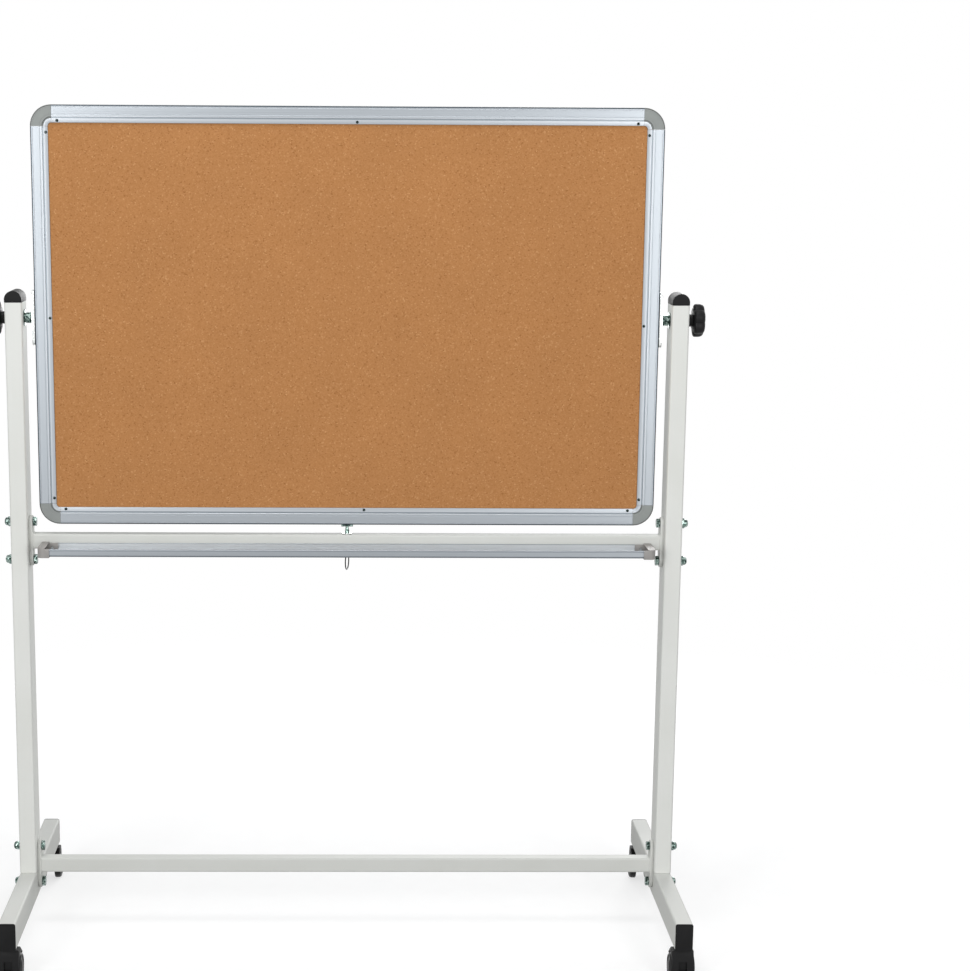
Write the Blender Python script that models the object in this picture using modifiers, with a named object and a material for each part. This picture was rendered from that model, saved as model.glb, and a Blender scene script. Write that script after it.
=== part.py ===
# Reversible notice board on a caster stand: cork on one face, dry-erase steel on the other.
# The framed board turns about a horizontal axis between two posts, is clamped by a lobed
# knob at each side and is caught upright by a spring pin in the upper crossbar.
# Metres, +Z up, the cork face towards -Y.
import math

import bmesh
import bpy
from mathutils import Matrix, Vector

GAP = 0.0003
CUT_OVERRUN = 0.002

# Board and its extruded aluminium rails
BOARD_W = 0.9144
BOARD_H = 0.6096
FRAME_T = 0.019
RAIL_BAND = 0.017
RAIL_GROOVE = 0.0025
RAIL_GROOVE_DEPTH = 0.0013
RAIL_FACE = 0.0255
RAIL_WALL = 0.0014
RAIL_EDGE_R = 0.0015
LIP_T = 0.0016
LIP_DROP = 0.0005
LIP_EDGE_R = 0.0006
CORK_T = 0.003
SHEET_T = 0.0008

# Moulded corner covers, each with a tongue into both rails
CORNER = 0.0305
TONGUE_L = 0.014
TONGUE_ROOT = 0.003
CORNER_STEPS = 7

# Stand
FOOT_W = 0.0254
FOOT_H = 0.041
FOOT_L = 0.508
POST_W = 0.0254
POST_D = 0.0508
PIVOT_ABOVE_FOOT = 0.844
POST_ABOVE_PIVOT = 0.0232
TUBE_WALL = 0.0015
TUBE_R = 0.003
BAR = 0.0222
BAR_R = 0.0025
BOARD_OVER_BAR = 0.0153
LOWER_BAR_OVER_FOOT = 0.0078
FLANGE_W = 0.0254
FLANGE_H = 0.0762
FLANGE_T = 0.0048
FLANGE_EDGE = 0.0004
WELD_SIZE = 0.0011

# Bores for the M8 frame bolts and vents into the welded tubes
BOLT_HOLE_R = 0.0044
BOLT_PITCH = 0.0572
VENT_R = 0.003

# Black plastic ends of the tubes
POST_CAP_BASE = 0.004
POST_CAP_SPIGOT = 0.014
CAP_EDGE = 0.0008
PLUG_T = 0.0024
PLUG_SPIGOT = 0.0045
PLUG_EDGE = 0.0009
SPIGOT_PLAY = 0.0003

# Pivots: plate on the rail, stud M10, flanged nut, washer, lobed knob
PLATE_H = 0.0813
PLATE_W = 0.018
PLATE_T = 0.0042
PLATE_EDGE = 0.0007
PLATE_SCREW_Z = 0.028
PLATE_SINK_R = 0.0043
PLATE_SINK_T = 0.0022
PLATE_HOLE_R = 0.0023
PLATE_HOLE_L = 0.007
STUD_R = 0.005
STUD_HOLE_R = 0.0054
STUD_ROOT = 0.004
STUD_CHAMFER = 0.001
NUT_FLANGE_R = 0.0095
NUT_FLANGE_T = 0.002
NUT_AF = 0.015
NUT_L = 0.0096
NUT_BORE_R = 0.0053
WASHER_R = 0.0118
WASHER_T = 0.0015
KNOB_R = 0.0243
KNOB_LOBES = 6
KNOB_LOBE_STEPS = 8
KNOB_TURN = math.radians(6)
KNOB_LOBE_DEPTH = 0.0034
KNOB_T = 0.0165
KNOB_HUB_R = 0.009
KNOB_HUB_L = 0.008
KNOB_FACE_R = 0.0155
KNOB_BACK_R = 0.0185
KNOB_SHOULDER_OUT = 0.0055
KNOB_SHOULDER_SHARES = ((0.67, 0.25), (0.91, 0.55))
KNOB_SHOULDER_IN = 0.003
KNOB_CROWN = 0.0008
KNOB_BORE_L = 0.0195
STUD_IN_KNOB = 0.018

# Pen tray: aluminium extrusion with moulded end caps
TRAY_FRONT = 0.057
TRAY_LEDGE = 0.0165
TRAY_T = 0.0014
TRAY_BACK_H = 0.0096
TRAY_LIP_H = 0.0100
TRAY_BEAD = 0.0026
TRAY_BEAD_PROUD = 0.0004
TRAY_RIB_H = 0.0008
TRAY_RIB_W = 0.0012
TRAY_RIB_SHARES = (0.32, 0.62)
TRAY_END_CLEAR = 0.0142
TRAY_CAP_BLOCK = 0.011
TRAY_CAP_SKIN = 0.0012
TRAY_CAP_FRONT_WRAP = 0.0065
TRAY_CAP_BACK_WRAP = 0.013
TRAY_CAP_EDGE = 0.0009
TRAY_CAP_FRONT_R = 0.008
TRAY_CAP_BACK_R = 0.002
TRAY_SCREW_SHARES = (-0.79, -0.264, 0.264, 0.79)
TRAY_HOLE_R = 0.0021
TRAY_NOTCH_R = 0.0085

# Spring pin that catches the board
STRIKE_W = 0.0176
STRIKE_D = 0.014
STRIKE_T = 0.0028
STRIKE_EDGE = 0.0005
STRIKE_HOLE_R = 0.0035
STRIKE_SCREW_X = 0.0062
STRIKE_SINK_R = 0.0020
STRIKE_SINK_T = 0.0011
STRIKE_SCREW_HOLE_R = 0.0010
PIN_CLEAR = 0.0004
PIN_TIP_R = 0.0021
PIN_TIP_EDGE = 0.0004
PIN_R = 0.0042
PIN_CONE_L = 0.0125
PIN_BODY_L = 0.005
PIN_ROD_R = 0.003
PIN_EYE_DROP = 0.0077
PIN_BELOW_EYE = 0.004
PIN_EYE_R = 0.0016
GUIDE_R = 0.006
GUIDE_BORE_R = 0.0046
GUIDE_COLLAR_R = 0.0075
GUIDE_COLLAR_T = 0.0014
GUIDE_FLOOR_T = 0.0015
GUIDE_ROD_HOLE_R = 0.0033
GUIDE_BELOW_BAR = 0.0009
GUIDE_HOLE_R = 0.0063
SPRING_WIRE_R = 0.0004
SPRING_R = 0.0039
SPRING_TURNS = 4
SPRING_STEPS = 8
RING_R = 0.012
RING_WIRE_R = 0.0009
RING_TURN = math.radians(12)
RING_STEPS = 24

# Twin-wheel casters
CASTER_INSET = 0.014
CASTER_TRAIL = 0.010
WHEEL_R = 0.020
WHEEL_IN = 0.008
WHEEL_OUT = 0.018
WHEEL_CROWN = 0.001
WHEEL_CROWN_SHARES = (0.6, 0.8)
WHEEL_SHOULDER = 0.0025
WHEEL_HUB_R = 0.010
WHEEL_DISH = 0.0015
WHEEL_RIM = 0.0035
AXLE_R = 0.0025
AXLE_HOLE_R = 0.0028
AXLE_HALF = 0.0152
HOOD_R = 0.0232
HOOD_T = 0.0020
HOOD_W = 0.0312
HOOD_EDGE = 0.0006
HOOD_START = math.radians(38)
HOOD_END = math.radians(214)
WEB_SET_BACK = math.radians(3)
WEB_W = 0.0144
WEB_HUB_R = 0.008
CROWN_HALF = 0.0085
CROWN_RISE = 0.0064
CROWN_CLEAR = 0.0014
CROWN_FRONT_SHARES = ((0.55, 0.34), (0.82, 0.62), (0.95, 0.84))
CROWN_REAR = math.radians(72)
WINDOW_W = 0.012
WINDOW_DOWN = 0.001
WINDOW_UP = 0.013
WINDOW_DEPTH = 0.004
STEM_R = 0.005
STEM_HOLE_R = 0.0053
STEM_COLLAR_R = 0.0075
STEM_COLLAR_T = 0.0008
STEM_DOWN = 0.018
STEM_UP = 0.030
STEM_GRIP_R = 0.0066
STEM_GRIP_T = 0.003

ROUND = 16
FINE = 20
SMALL = 10
STEM_STEPS = 12

# Positions that follow from the sizes
CROWN_TOP = WHEEL_R + HOOD_R + CROWN_RISE
CASTER_H = CROWN_TOP + CROWN_CLEAR
FOOT_TOP = CASTER_H + FOOT_H
PIVOT_Z = FOOT_TOP + PIVOT_ABOVE_FOOT
POST_TOP = PIVOT_Z + POST_ABOVE_PIVOT
UPPER_BAR_Z = PIVOT_Z - BOARD_H / 2 - BOARD_OVER_BAR - BAR / 2
LOWER_BAR_Z = FOOT_TOP + LOWER_BAR_OVER_FOOT
LIP_UNDER = FRAME_T / 2 - LIP_DROP - LIP_T
PANEL_HALF = LIP_UNDER - GAP
PLATE_IN = BOARD_W / 2 + GAP
PLATE_OUT = PLATE_IN + PLATE_T
NUT_IN = PLATE_OUT + GAP
WASHER_IN = NUT_IN + NUT_L + GAP
POST_IN = WASHER_IN + WASHER_T + GAP
POST_OUT = POST_IN + POST_W
POST_X = POST_IN + POST_W / 2
STRIKE_UNDER = -BOARD_H / 2 - GAP - STRIKE_T
PIN_TOP_Z = PIVOT_Z + STRIKE_UNDER - PIN_CLEAR
BAR_UNDER = UPPER_BAR_Z - BAR / 2
TRAY_FLOOR = -GAP
TRAY_UNDER = TRAY_FLOOR - TRAY_T
FLANGE_IN = POST_IN - GAP - FLANGE_T
TRAY_END = FLANGE_IN - TRAY_END_CLEAR
CASTER_Y = FOOT_L / 2 - CASTER_INSET

for old in list(bpy.data.objects):
    bpy.data.objects.remove(old, do_unlink=True)

parts = bpy.data.collections.new("reversible_cork_whiteboard")
cutters = bpy.data.collections.new("cutters")
bpy.context.scene.collection.children.link(parts)
bpy.context.scene.collection.children.link(cutters)


def material(name, rgb, roughness, metallic):
    mat = bpy.data.materials.new(name)
    mat.use_nodes = True
    shader = mat.node_tree.nodes["Principled BSDF"]
    shader.inputs["Base Color"].default_value = (*rgb, 1.0)
    shader.inputs["Roughness"].default_value = roughness
    shader.inputs["Metallic"].default_value = metallic
    mat.diffuse_color = (*rgb, 1.0)
    return mat


POWDER = material("powder_coat", (0.76, 0.76, 0.72), 0.45, 0.0)
ALUMINIUM = material("satin_aluminium", (0.62, 0.65, 0.68), 0.35, 1.0)
CORK = material("cork", (0.50, 0.23, 0.08), 0.9, 0.0)
WHITE = material("enamel_white", (0.85, 0.85, 0.86), 0.15, 0.0)
FIBREBOARD = material("fibreboard", (0.36, 0.26, 0.17), 0.9, 0.0)
GREY_PLASTIC = material("grey_plastic", (0.29, 0.30, 0.29), 0.5, 0.0)
BLACK_PLASTIC = material("black_plastic", (0.02, 0.02, 0.022), 0.45, 0.0)
TREAD = material("wheel_tread", (0.03, 0.03, 0.032), 0.6, 0.0)
ZINC = material("zinc_plate", (0.55, 0.60, 0.58), 0.3, 1.0)
STEEL = material("spring_steel", (0.42, 0.42, 0.43), 0.3, 1.0)


def finish(mesh, angle=math.radians(35)):
    mesh.shade_smooth()
    mesh.set_sharp_from_angle(angle=angle)
    return mesh


def mesh_from(bm, name):
    bmesh.ops.recalc_face_normals(bm, faces=bm.faces)
    mesh = bpy.data.meshes.new(name)
    bm.to_mesh(mesh)
    bm.free()
    return finish(mesh)


def baked(obj, name):
    """Mesh of an object with its modifiers, in its own coordinates; the object is removed."""
    graph = bpy.context.evaluated_depsgraph_get()
    mesh = bpy.data.meshes.new_from_object(obj.evaluated_get(graph))
    mesh.name = name
    bpy.data.objects.remove(obj, do_unlink=True)
    bm = bmesh.new()
    bm.from_mesh(mesh)
    bpy.data.meshes.remove(mesh)
    bmesh.ops.remove_doubles(bm, verts=bm.verts, dist=GAP / 100)
    return mesh_from(bm, name)


def add(name, mesh, mat, location=(0, 0, 0), parent=None, turn_y=0.0, turn_z=0.0):
    """Named piece in the parts collection; a shared mesh keeps its first material."""
    obj = bpy.data.objects.new(name, mesh)
    if not mesh.materials:
        mesh.materials.append(mat)
    obj.location = location
    obj.rotation_euler = (0, turn_y, turn_z)
    obj.parent = parent
    parts.objects.link(obj)
    return obj


def empty(name, location, turn_z=0.0):
    obj = bpy.data.objects.new(name, None)
    obj.empty_display_size = FOOT_W
    obj.location = location
    obj.rotation_euler = (0, 0, turn_z)
    parts.objects.link(obj)
    return obj


def cutter(name, mesh, location=(0, 0, 0), parent=None):
    obj = bpy.data.objects.new(name, mesh)
    obj.location = location
    obj.parent = parent
    obj.display_type = "WIRE"
    obj.hide_render = True
    cutters.objects.link(obj)
    return obj


def boolean(obj, other, operation):
    mod = obj.modifiers.new(other.name, "BOOLEAN")
    mod.operation = operation
    mod.solver = "EXACT"
    mod.object = other
    return obj


def bevel(obj, width, segments=2, angle=math.radians(50)):
    mod = obj.modifiers.new("edges", "BEVEL")
    mod.width = width
    mod.segments = segments
    mod.limit_method = "ANGLE"
    mod.angle_limit = angle
    return obj


def facing(axis, up="Y"):
    """Rotation that turns local +Z to the given direction."""
    return Vector(axis).to_track_quat("Z", up).to_matrix().to_4x4()


AT_X = Matrix(((0, 0, 1, 0), (1, 0, 0, 0), (0, 1, 0, 0), (0, 0, 0, 1)))
AT_Y = Matrix(((1, 0, 0, 0), (0, 0, -1, 0), (0, 1, 0, 0), (0, 0, 0, 1)))
UPRIGHT = Matrix.Identity(4)


def block(size, centre=(0, 0, 0)):
    bm = bmesh.new()
    bmesh.ops.create_cube(bm, size=1.0, matrix=Matrix.Translation(centre) @ Matrix.Diagonal((*size, 1)))
    return mesh_from(bm, "block")


def rod(radius, length, turn=UPRIGHT, centre=(0, 0, 0), segments=ROUND, top_radius=None):
    bm = bmesh.new()
    top = radius if top_radius is None else top_radius
    bmesh.ops.create_cone(bm, cap_ends=True, segments=segments, radius1=radius, radius2=top,
                          depth=length, matrix=Matrix.Translation(centre) @ turn)
    return mesh_from(bm, "rod")


def outline(loops, thickness, turn=UPRIGHT, centre=(0, 0, 0)):
    """Flat outline, holes included, given a thickness about its own plane."""
    curve = bpy.data.curves.new("outline", "CURVE")
    curve.dimensions = "2D"
    curve.fill_mode = "BOTH"
    curve.extrude = thickness / 2
    for loop in loops:
        spline = curve.splines.new("POLY")
        spline.points.add(len(loop) - 1)
        for point, (a, b) in zip(spline.points, loop):
            point.co = (a, b, 0, 1)
        spline.use_cyclic_u = True
    obj = bpy.data.objects.new("outline", curve)
    bpy.context.scene.collection.objects.link(obj)
    mesh = baked(obj, "outline")
    bpy.data.curves.remove(curve)
    mesh.transform(Matrix.Translation(centre) @ turn)
    return mesh


def turned(profile, segments=ROUND, turn=UPRIGHT, centre=(0, 0, 0), ring=False):
    """Profile of radius and height turned about its height axis."""
    mesh = bpy.data.meshes.new("profile")
    points = [(radius, 0, height) for radius, height in profile]
    edges = [(i, i + 1) for i in range(len(points) - 1)]
    if ring:
        edges.append((len(points) - 1, 0))
    mesh.from_pydata(points, edges, [])
    obj = bpy.data.objects.new("profile", mesh)
    bpy.context.scene.collection.objects.link(obj)
    mod = obj.modifiers.new("turn", "SCREW")
    mod.steps = segments
    mod.render_steps = segments
    mod.use_merge_vertices = True
    mod.merge_threshold = GAP / 100
    result = baked(obj, "turned")
    bpy.data.meshes.remove(mesh)
    result.transform(Matrix.Translation(centre) @ turn)
    return result


def tube_along(points, radius, closed, resolution):
    curve = bpy.data.curves.new("wire", "CURVE")
    curve.dimensions = "3D"
    curve.bevel_depth = radius
    curve.bevel_resolution = resolution
    curve.use_fill_caps = not closed
    spline = curve.splines.new("POLY")
    spline.points.add(len(points) - 1)
    for point, place in zip(spline.points, points):
        point.co = (*place, 1)
    spline.use_cyclic_u = closed
    obj = bpy.data.objects.new("wire", curve)
    bpy.context.scene.collection.objects.link(obj)
    mesh = baked(obj, "wire")
    bpy.data.curves.remove(curve)
    return mesh


def gathered(name, pieces):
    """One mesh that holds several separate solids."""
    bm = bmesh.new()
    for mesh, matrix in pieces:
        copy = mesh.copy()
        copy.transform(matrix)
        bm.from_mesh(copy)
        bpy.data.meshes.remove(copy)
    return mesh_from(bm, name)


def joined(base, others, operation="UNION"):
    """Solid made of a base mesh and others joined to it or cut from it."""
    obj = bpy.data.objects.new("solid", base)
    bpy.context.scene.collection.objects.link(obj)
    helpers = []
    for mesh in others:
        helper = bpy.data.objects.new("helper", mesh)
        bpy.context.scene.collection.objects.link(helper)
        boolean(obj, helper, operation)
        helpers.append(helper)
    result = baked(obj, "solid")
    for helper in helpers:
        bpy.data.objects.remove(helper, do_unlink=True)
    return result


def bevelled(base, width, segments=2):
    """Solid with its sharp edges rounded."""
    obj = bpy.data.objects.new("edged", base)
    bpy.context.scene.collection.objects.link(obj)
    bevel(obj, width, segments)
    return baked(obj, "edged")


def arc(radius, start, end, steps, centre=(0, 0)):
    return [(centre[0] + radius * math.cos(start + (end - start) * i / steps),
             centre[1] + radius * math.sin(start + (end - start) * i / steps))
            for i in range(steps + 1)]


QUARTER = math.pi / 2


def rounded_rectangle(width, height, radius, steps=3):
    points = []
    for turn, (sx, sy) in enumerate(((1, 1), (-1, 1), (-1, -1), (1, -1))):
        centre = (sx * (width / 2 - radius), sy * (height / 2 - radius))
        points += arc(radius, turn * QUARTER, (turn + 1) * QUARTER, steps, centre)
    return points


def stadium(width, height, steps=6):
    radius = width / 2
    straight = (height - width) / 2
    return (arc(radius, 0, math.pi, steps, (0, straight))
            + arc(radius, math.pi, 2 * math.pi, steps, (0, -straight)))


def tube(width, height, radius, length, turn=UPRIGHT):
    """Rectangular tube with rounded corners, open at both ends."""
    bar = outline([rounded_rectangle(width, height, radius)], length, turn)
    bore = rounded_rectangle(width - 2 * TUBE_WALL, height - 2 * TUBE_WALL, radius - TUBE_WALL)
    return joined(bar, [outline([bore], length + 2 * CUT_OVERRUN, turn)], "DIFFERENCE")


def hexagon(across_flats, thickness, turn=AT_X, centre=(0, 0, 0)):
    return rod(across_flats / math.sqrt(3), thickness, turn, centre, segments=6)


def rail_outline():
    """Section of a rail: inset from the outer edge, then distance through the board."""
    side = arc(RAIL_EDGE_R, 2 * QUARTER, QUARTER, 3, (RAIL_EDGE_R, FRAME_T / 2 - RAIL_EDGE_R))
    lip_face = FRAME_T / 2 - LIP_DROP
    groove_end = RAIL_BAND + RAIL_GROOVE
    side += [(RAIL_BAND, FRAME_T / 2), (RAIL_BAND, FRAME_T / 2 - RAIL_GROOVE_DEPTH),
             (groove_end, FRAME_T / 2 - RAIL_GROOVE_DEPTH), (groove_end, lip_face),
             (RAIL_FACE - LIP_EDGE_R, lip_face), (RAIL_FACE, lip_face - LIP_EDGE_R),
             (RAIL_FACE, LIP_UNDER), (RAIL_BAND, LIP_UNDER)]
    return side + [(inset, -through) for inset, through in reversed(side)]


def inward(direction):
    """Turns a rail's section so that its inset runs in the given direction."""
    x_axis = Vector(direction)
    y_axis = Vector((0, 1, 0))
    z_axis = x_axis.cross(y_axis)
    return Matrix((x_axis, y_axis, z_axis)).transposed().to_4x4()


# The board turns about the pivots, so its pieces are parented to an empty on that axis.
board_axis = empty("board_axis", (0, 0, PIVOT_Z))

# Panel: cork sheet, fibreboard core and enamelled steel sheet, all inside the rails' channels
panel_r = CORNER - RAIL_BAND - GAP
panel_w = BOARD_W - 2 * (RAIL_BAND + GAP)
panel_h = BOARD_H - 2 * (RAIL_BAND + GAP)
panel_outline = rounded_rectangle(panel_w, panel_h, panel_r, 5)
cork_back = -PANEL_HALF + CORK_T
sheet_front = PANEL_HALF - SHEET_T
core_front = cork_back + GAP
core_back = sheet_front - GAP


def panel_layer(name, mat, front, back):
    mesh = outline([panel_outline], back - front, AT_Y, (0, (front + back) / 2, 0))
    return add(name, mesh, mat, parent=board_axis)


cork_sheet = panel_layer("cork_sheet", CORK, -PANEL_HALF, cork_back)
board_core = panel_layer("board_core", FIBREBOARD, core_front, core_back)
white_sheet = panel_layer("white_sheet", WHITE, sheet_front, PANEL_HALF)

# Rails: hollow band, a groove, and a lip on each face that holds the panel's edge
rail_hollow = [(RAIL_WALL, -FRAME_T / 2 + RAIL_WALL), (RAIL_BAND - RAIL_WALL, -FRAME_T / 2 + RAIL_WALL),
               (RAIL_BAND - RAIL_WALL, FRAME_T / 2 - RAIL_WALL), (RAIL_WALL, FRAME_T / 2 - RAIL_WALL)]


def rail(name, direction, length, edge):
    turn = inward(direction)
    outer_edge = Vector(direction) * -edge
    bar = outline([rail_outline()], length, turn, outer_edge)
    hollow = outline([rail_hollow], length + 2 * CUT_OVERRUN, turn, outer_edge)
    return add(name, joined(bar, [hollow], "DIFFERENCE"), ALUMINIUM, parent=board_axis)


wide = BOARD_W - 2 * (CORNER + GAP)
tall = BOARD_H - 2 * (CORNER + GAP)
top_rail = rail("top_rail", (0, 0, -1), wide, BOARD_H / 2)
bottom_rail = rail("bottom_rail", (0, 0, 1), wide, BOARD_H / 2)
left_rail = rail("left_rail", (1, 0, 0), tall, BOARD_W / 2)
right_rail = rail("right_rail", (-1, 0, 0), tall, BOARD_W / 2)


# Corner covers: the rails' solid section swept through a quarter turn, with two tongues
def corner_mesh():
    bm = bmesh.new()
    ring = [bm.verts.new((CORNER - inset, through, 0)) for inset, through in rail_outline()]
    face = bm.faces.new(ring)
    geometry = [face] + list(face.edges) + list(face.verts)
    bmesh.ops.spin(bm, geom=geometry, cent=(0, 0, 0), axis=(0, 1, 0), dvec=(0, 0, 0),
                   angle=-QUARTER, steps=CORNER_STEPS, use_duplicate=False)
    swept = mesh_from(bm, "corner")
    tongue_w = RAIL_BAND - 2 * (RAIL_WALL + SPIGOT_PLAY)
    tongue_t = FRAME_T - 2 * (RAIL_WALL + SPIGOT_PLAY)
    middle = CORNER - RAIL_BAND / 2
    centre = (TONGUE_ROOT - TONGUE_L) / 2
    length = TONGUE_L + TONGUE_ROOT
    down = block((tongue_w, tongue_t, length), (middle, 0, centre))
    across = block((length, tongue_t, tongue_w), (centre, 0, middle))
    return joined(swept, [down, across])


corner = corner_mesh()
corner_x = BOARD_W / 2 - CORNER
corner_z = BOARD_H / 2 - CORNER
for name, sx, sz, quarters in (("corner_top_right", 1, 1, 0), ("corner_bottom_right", 1, -1, 1),
                               ("corner_bottom_left", -1, -1, 2), ("corner_top_left", -1, 1, 3)):
    add(name, corner, GREY_PLASTIC, (sx * corner_x, 0, sz * corner_z), board_axis, turn_y=quarters * QUARTER)

# Pivots: a plate with a welded stud on each side rail, a flanged nut and a washer before the post
nut_solid = joined(hexagon(NUT_AF, NUT_L, centre=(NUT_IN + NUT_L / 2, 0, 0)),
                   [rod(NUT_FLANGE_R, NUT_FLANGE_T, AT_X, (NUT_IN + NUT_FLANGE_T / 2, 0, 0))])
nut_bore = rod(NUT_BORE_R, NUT_L + 2 * CUT_OVERRUN, AT_X, (NUT_IN + NUT_L / 2, 0, 0))
nut_solid = joined(nut_solid, [nut_bore], "DIFFERENCE")
washer_solid = turned([(WASHER_R, WASHER_T), (WASHER_R, 0), (NUT_BORE_R, 0), (NUT_BORE_R, WASHER_T)],
                      ROUND, AT_X, (WASHER_IN, 0, 0), ring=True)


def pivot_plate_mesh():
    flat = outline([stadium(PLATE_W, PLATE_H)], PLATE_T, AT_X, ((PLATE_IN + PLATE_OUT) / 2, 0, 0))
    edged = bevelled(flat, PLATE_EDGE, 1)
    sink = [(0, CUT_OVERRUN), (PLATE_SINK_R, CUT_OVERRUN), (PLATE_SINK_R, 0), (PLATE_HOLE_R, -PLATE_SINK_T),
            (PLATE_HOLE_R, -PLATE_T - CUT_OVERRUN), (0, -PLATE_T - CUT_OVERRUN)]
    cuts = [turned(sink, SMALL, AT_X, (PLATE_OUT, 0, z)) for z in (-PLATE_SCREW_Z, PLATE_SCREW_Z)]
    end = POST_OUT + GAP + STUD_IN_KNOB
    root = BOARD_W / 2 - STUD_ROOT
    stud = turned([(0, end), (STUD_R - STUD_CHAMFER, end), (STUD_R, end - STUD_CHAMFER),
                   (STUD_R, root), (0, root)], ROUND, AT_X)
    return joined(joined(edged, cuts, "DIFFERENCE"), [stud])


pivot_plate = pivot_plate_mesh()
rail_bores = [rod(STUD_HOLE_R, 2 * RAIL_FACE, AT_X, (BOARD_W / 2, 0, 0))]
rail_bores += [rod(PLATE_HOLE_R, 2 * PLATE_HOLE_L, AT_X, (BOARD_W / 2, 0, z), SMALL)
               for z in (-PLATE_SCREW_Z, PLATE_SCREW_Z)]
side_places = []
for side, turn in (("left", math.pi), ("right", 0.0)):
    add(side + "_pivot_plate", pivot_plate, ZINC, parent=board_axis, turn_z=turn)
    add(side + "_pivot_nut", nut_solid, ZINC, parent=board_axis, turn_z=turn)
    add(side + "_pivot_washer", washer_solid, ZINC, parent=board_axis, turn_z=turn)
    side_places += [(bore, Matrix.Rotation(turn, 4, "Z")) for bore in rail_bores]
side_bores = cutter("side_bores", gathered("side_bores", side_places), parent=board_axis)
for piece in (left_rail, right_rail):
    boolean(piece, side_bores, "DIFFERENCE")

# Strike plate under the bottom rail, countersunk for two small screws; the pin's nose rises into its bore
strike_block = block((STRIKE_W, STRIKE_D, STRIKE_T), (0, 0, STRIKE_UNDER + STRIKE_T / 2))
strike = add("latch_strike", bevelled(strike_block, STRIKE_EDGE), ZINC, parent=board_axis)
strike_sink = turned([(0, 2 * STRIKE_T), (STRIKE_SCREW_HOLE_R, 2 * STRIKE_T),
                      (STRIKE_SCREW_HOLE_R, STRIKE_SINK_T), (STRIKE_SINK_R, 0),
                      (STRIKE_SINK_R, -CUT_OVERRUN), (0, -CUT_OVERRUN)],
                     SMALL, centre=(0, 0, STRIKE_UNDER))
pin_way = rod(STRIKE_HOLE_R, 2 * PIN_CONE_L, centre=(0, 0, STRIKE_UNDER))
strike_cuts = [(strike_sink, Matrix.Translation((x, 0, 0))) for x in (-STRIKE_SCREW_X, STRIKE_SCREW_X)]
screw_holes = cutter("strike_screw_holes", gathered("strike_screw_holes", strike_cuts), parent=board_axis)
strike_bore = cutter("strike_bore", pin_way, parent=board_axis)
boolean(boolean(strike, screw_holes, "DIFFERENCE"), strike_bore, "DIFFERENCE")
boolean(bottom_rail, screw_holes, "DIFFERENCE")


# Lobed knobs that clamp the board; each origin lies on the pivot axis
def knob_mesh():
    lobes = []
    points = KNOB_LOBES * KNOB_LOBE_STEPS
    for i in range(points):
        angle = 2 * math.pi * i / points
        crest = abs(math.cos(KNOB_LOBES * angle / 2))
        radius = KNOB_R - KNOB_LOBE_DEPTH * (1 - crest)
        lobes.append((radius * math.cos(angle), radius * math.sin(angle)))
    start = KNOB_HUB_L
    end = KNOB_HUB_L + KNOB_T
    over = KNOB_R + CUT_OVERRUN
    lobed = outline([lobes], KNOB_T + 2 * CUT_OVERRUN, centre=(0, 0, start + KNOB_T / 2))
    rim = end - KNOB_CROWN
    shoulder = [(KNOB_FACE_R + (KNOB_R - KNOB_FACE_R) * out, rim - KNOB_SHOULDER_OUT * down)
                for out, down in KNOB_SHOULDER_SHARES]
    back = start + KNOB_SHOULDER_IN
    cushion = turned([(0, end), (KNOB_FACE_R, rim)] + shoulder
                     + [(over, rim - KNOB_SHOULDER_OUT), (over, back + KNOB_CROWN),
                        (KNOB_R - KNOB_CROWN, back), (KNOB_BACK_R, start), (0, start)], ROUND)
    body = joined(lobed, [cushion], "INTERSECT")
    hub = rod(KNOB_HUB_R, KNOB_HUB_L + CUT_OVERRUN, centre=(0, 0, (KNOB_HUB_L + CUT_OVERRUN) / 2))
    bore = rod(NUT_BORE_R, 2 * KNOB_BORE_L)
    solid = joined(joined(body, [hub]), [bore], "DIFFERENCE")
    solid.transform(Matrix.Rotation(KNOB_TURN, 4, "Z"))
    solid.transform(AT_X)
    return solid


knob = knob_mesh()
for side, sign, turn in (("left", -1, math.pi), ("right", 1, 0.0)):
    add(side + "_knob", knob, BLACK_PLASTIC, (sign * (POST_OUT + GAP), 0, PIVOT_Z), turn_z=turn)

# Stand: two posts on two feet, bored for the studs, the frame bolts and the casters' stems
post_z = (FOOT_TOP + GAP + POST_TOP) / 2
foot_z = CASTER_H + FOOT_H / 2
foot_bolt_z = LOWER_BAR_Z - BOLT_PITCH / 2
post_bolts_z = [UPPER_BAR_Z - BOLT_PITCH / 2, UPPER_BAR_Z + BOLT_PITCH / 2, LOWER_BAR_Z + BOLT_PITCH / 2]


def across(radius, width, height, segments=SMALL):
    """Cutter for a bore from one side of an upright or foot to the other."""
    return rod(radius, width + 2 * CUT_OVERRUN, AT_X, (0, 0, height), segments)


def post_mesh():
    bores = [across(BOLT_HOLE_R, POST_W, z - post_z) for z in post_bolts_z]
    bores.append(across(STUD_HOLE_R, POST_W, PIVOT_Z - post_z, ROUND))
    return joined(tube(POST_W, POST_D, TUBE_R, POST_TOP - FOOT_TOP - GAP), bores, "DIFFERENCE")


def foot_mesh():
    bores = [across(BOLT_HOLE_R, FOOT_W, foot_bolt_z - foot_z)]
    bores += [rod(STEM_HOLE_R, 4 * TUBE_WALL, centre=(0, y, -FOOT_H / 2), segments=STEM_STEPS)
              for y in (-CASTER_Y, CASTER_Y)]
    return joined(tube(FOOT_W, FOOT_H, TUBE_R, FOOT_L - 2 * (PLUG_T + GAP), AT_Y), bores, "DIFFERENCE")


post = post_mesh()
add("left_post", post, POWDER, (-POST_X, 0, post_z))
add("right_post", post, POWDER, (POST_X, 0, post_z))
foot = foot_mesh()
add("left_foot", foot, POWDER, (-POST_X, 0, foot_z))
add("right_foot", foot, POWDER, (POST_X, 0, foot_z))

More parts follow.
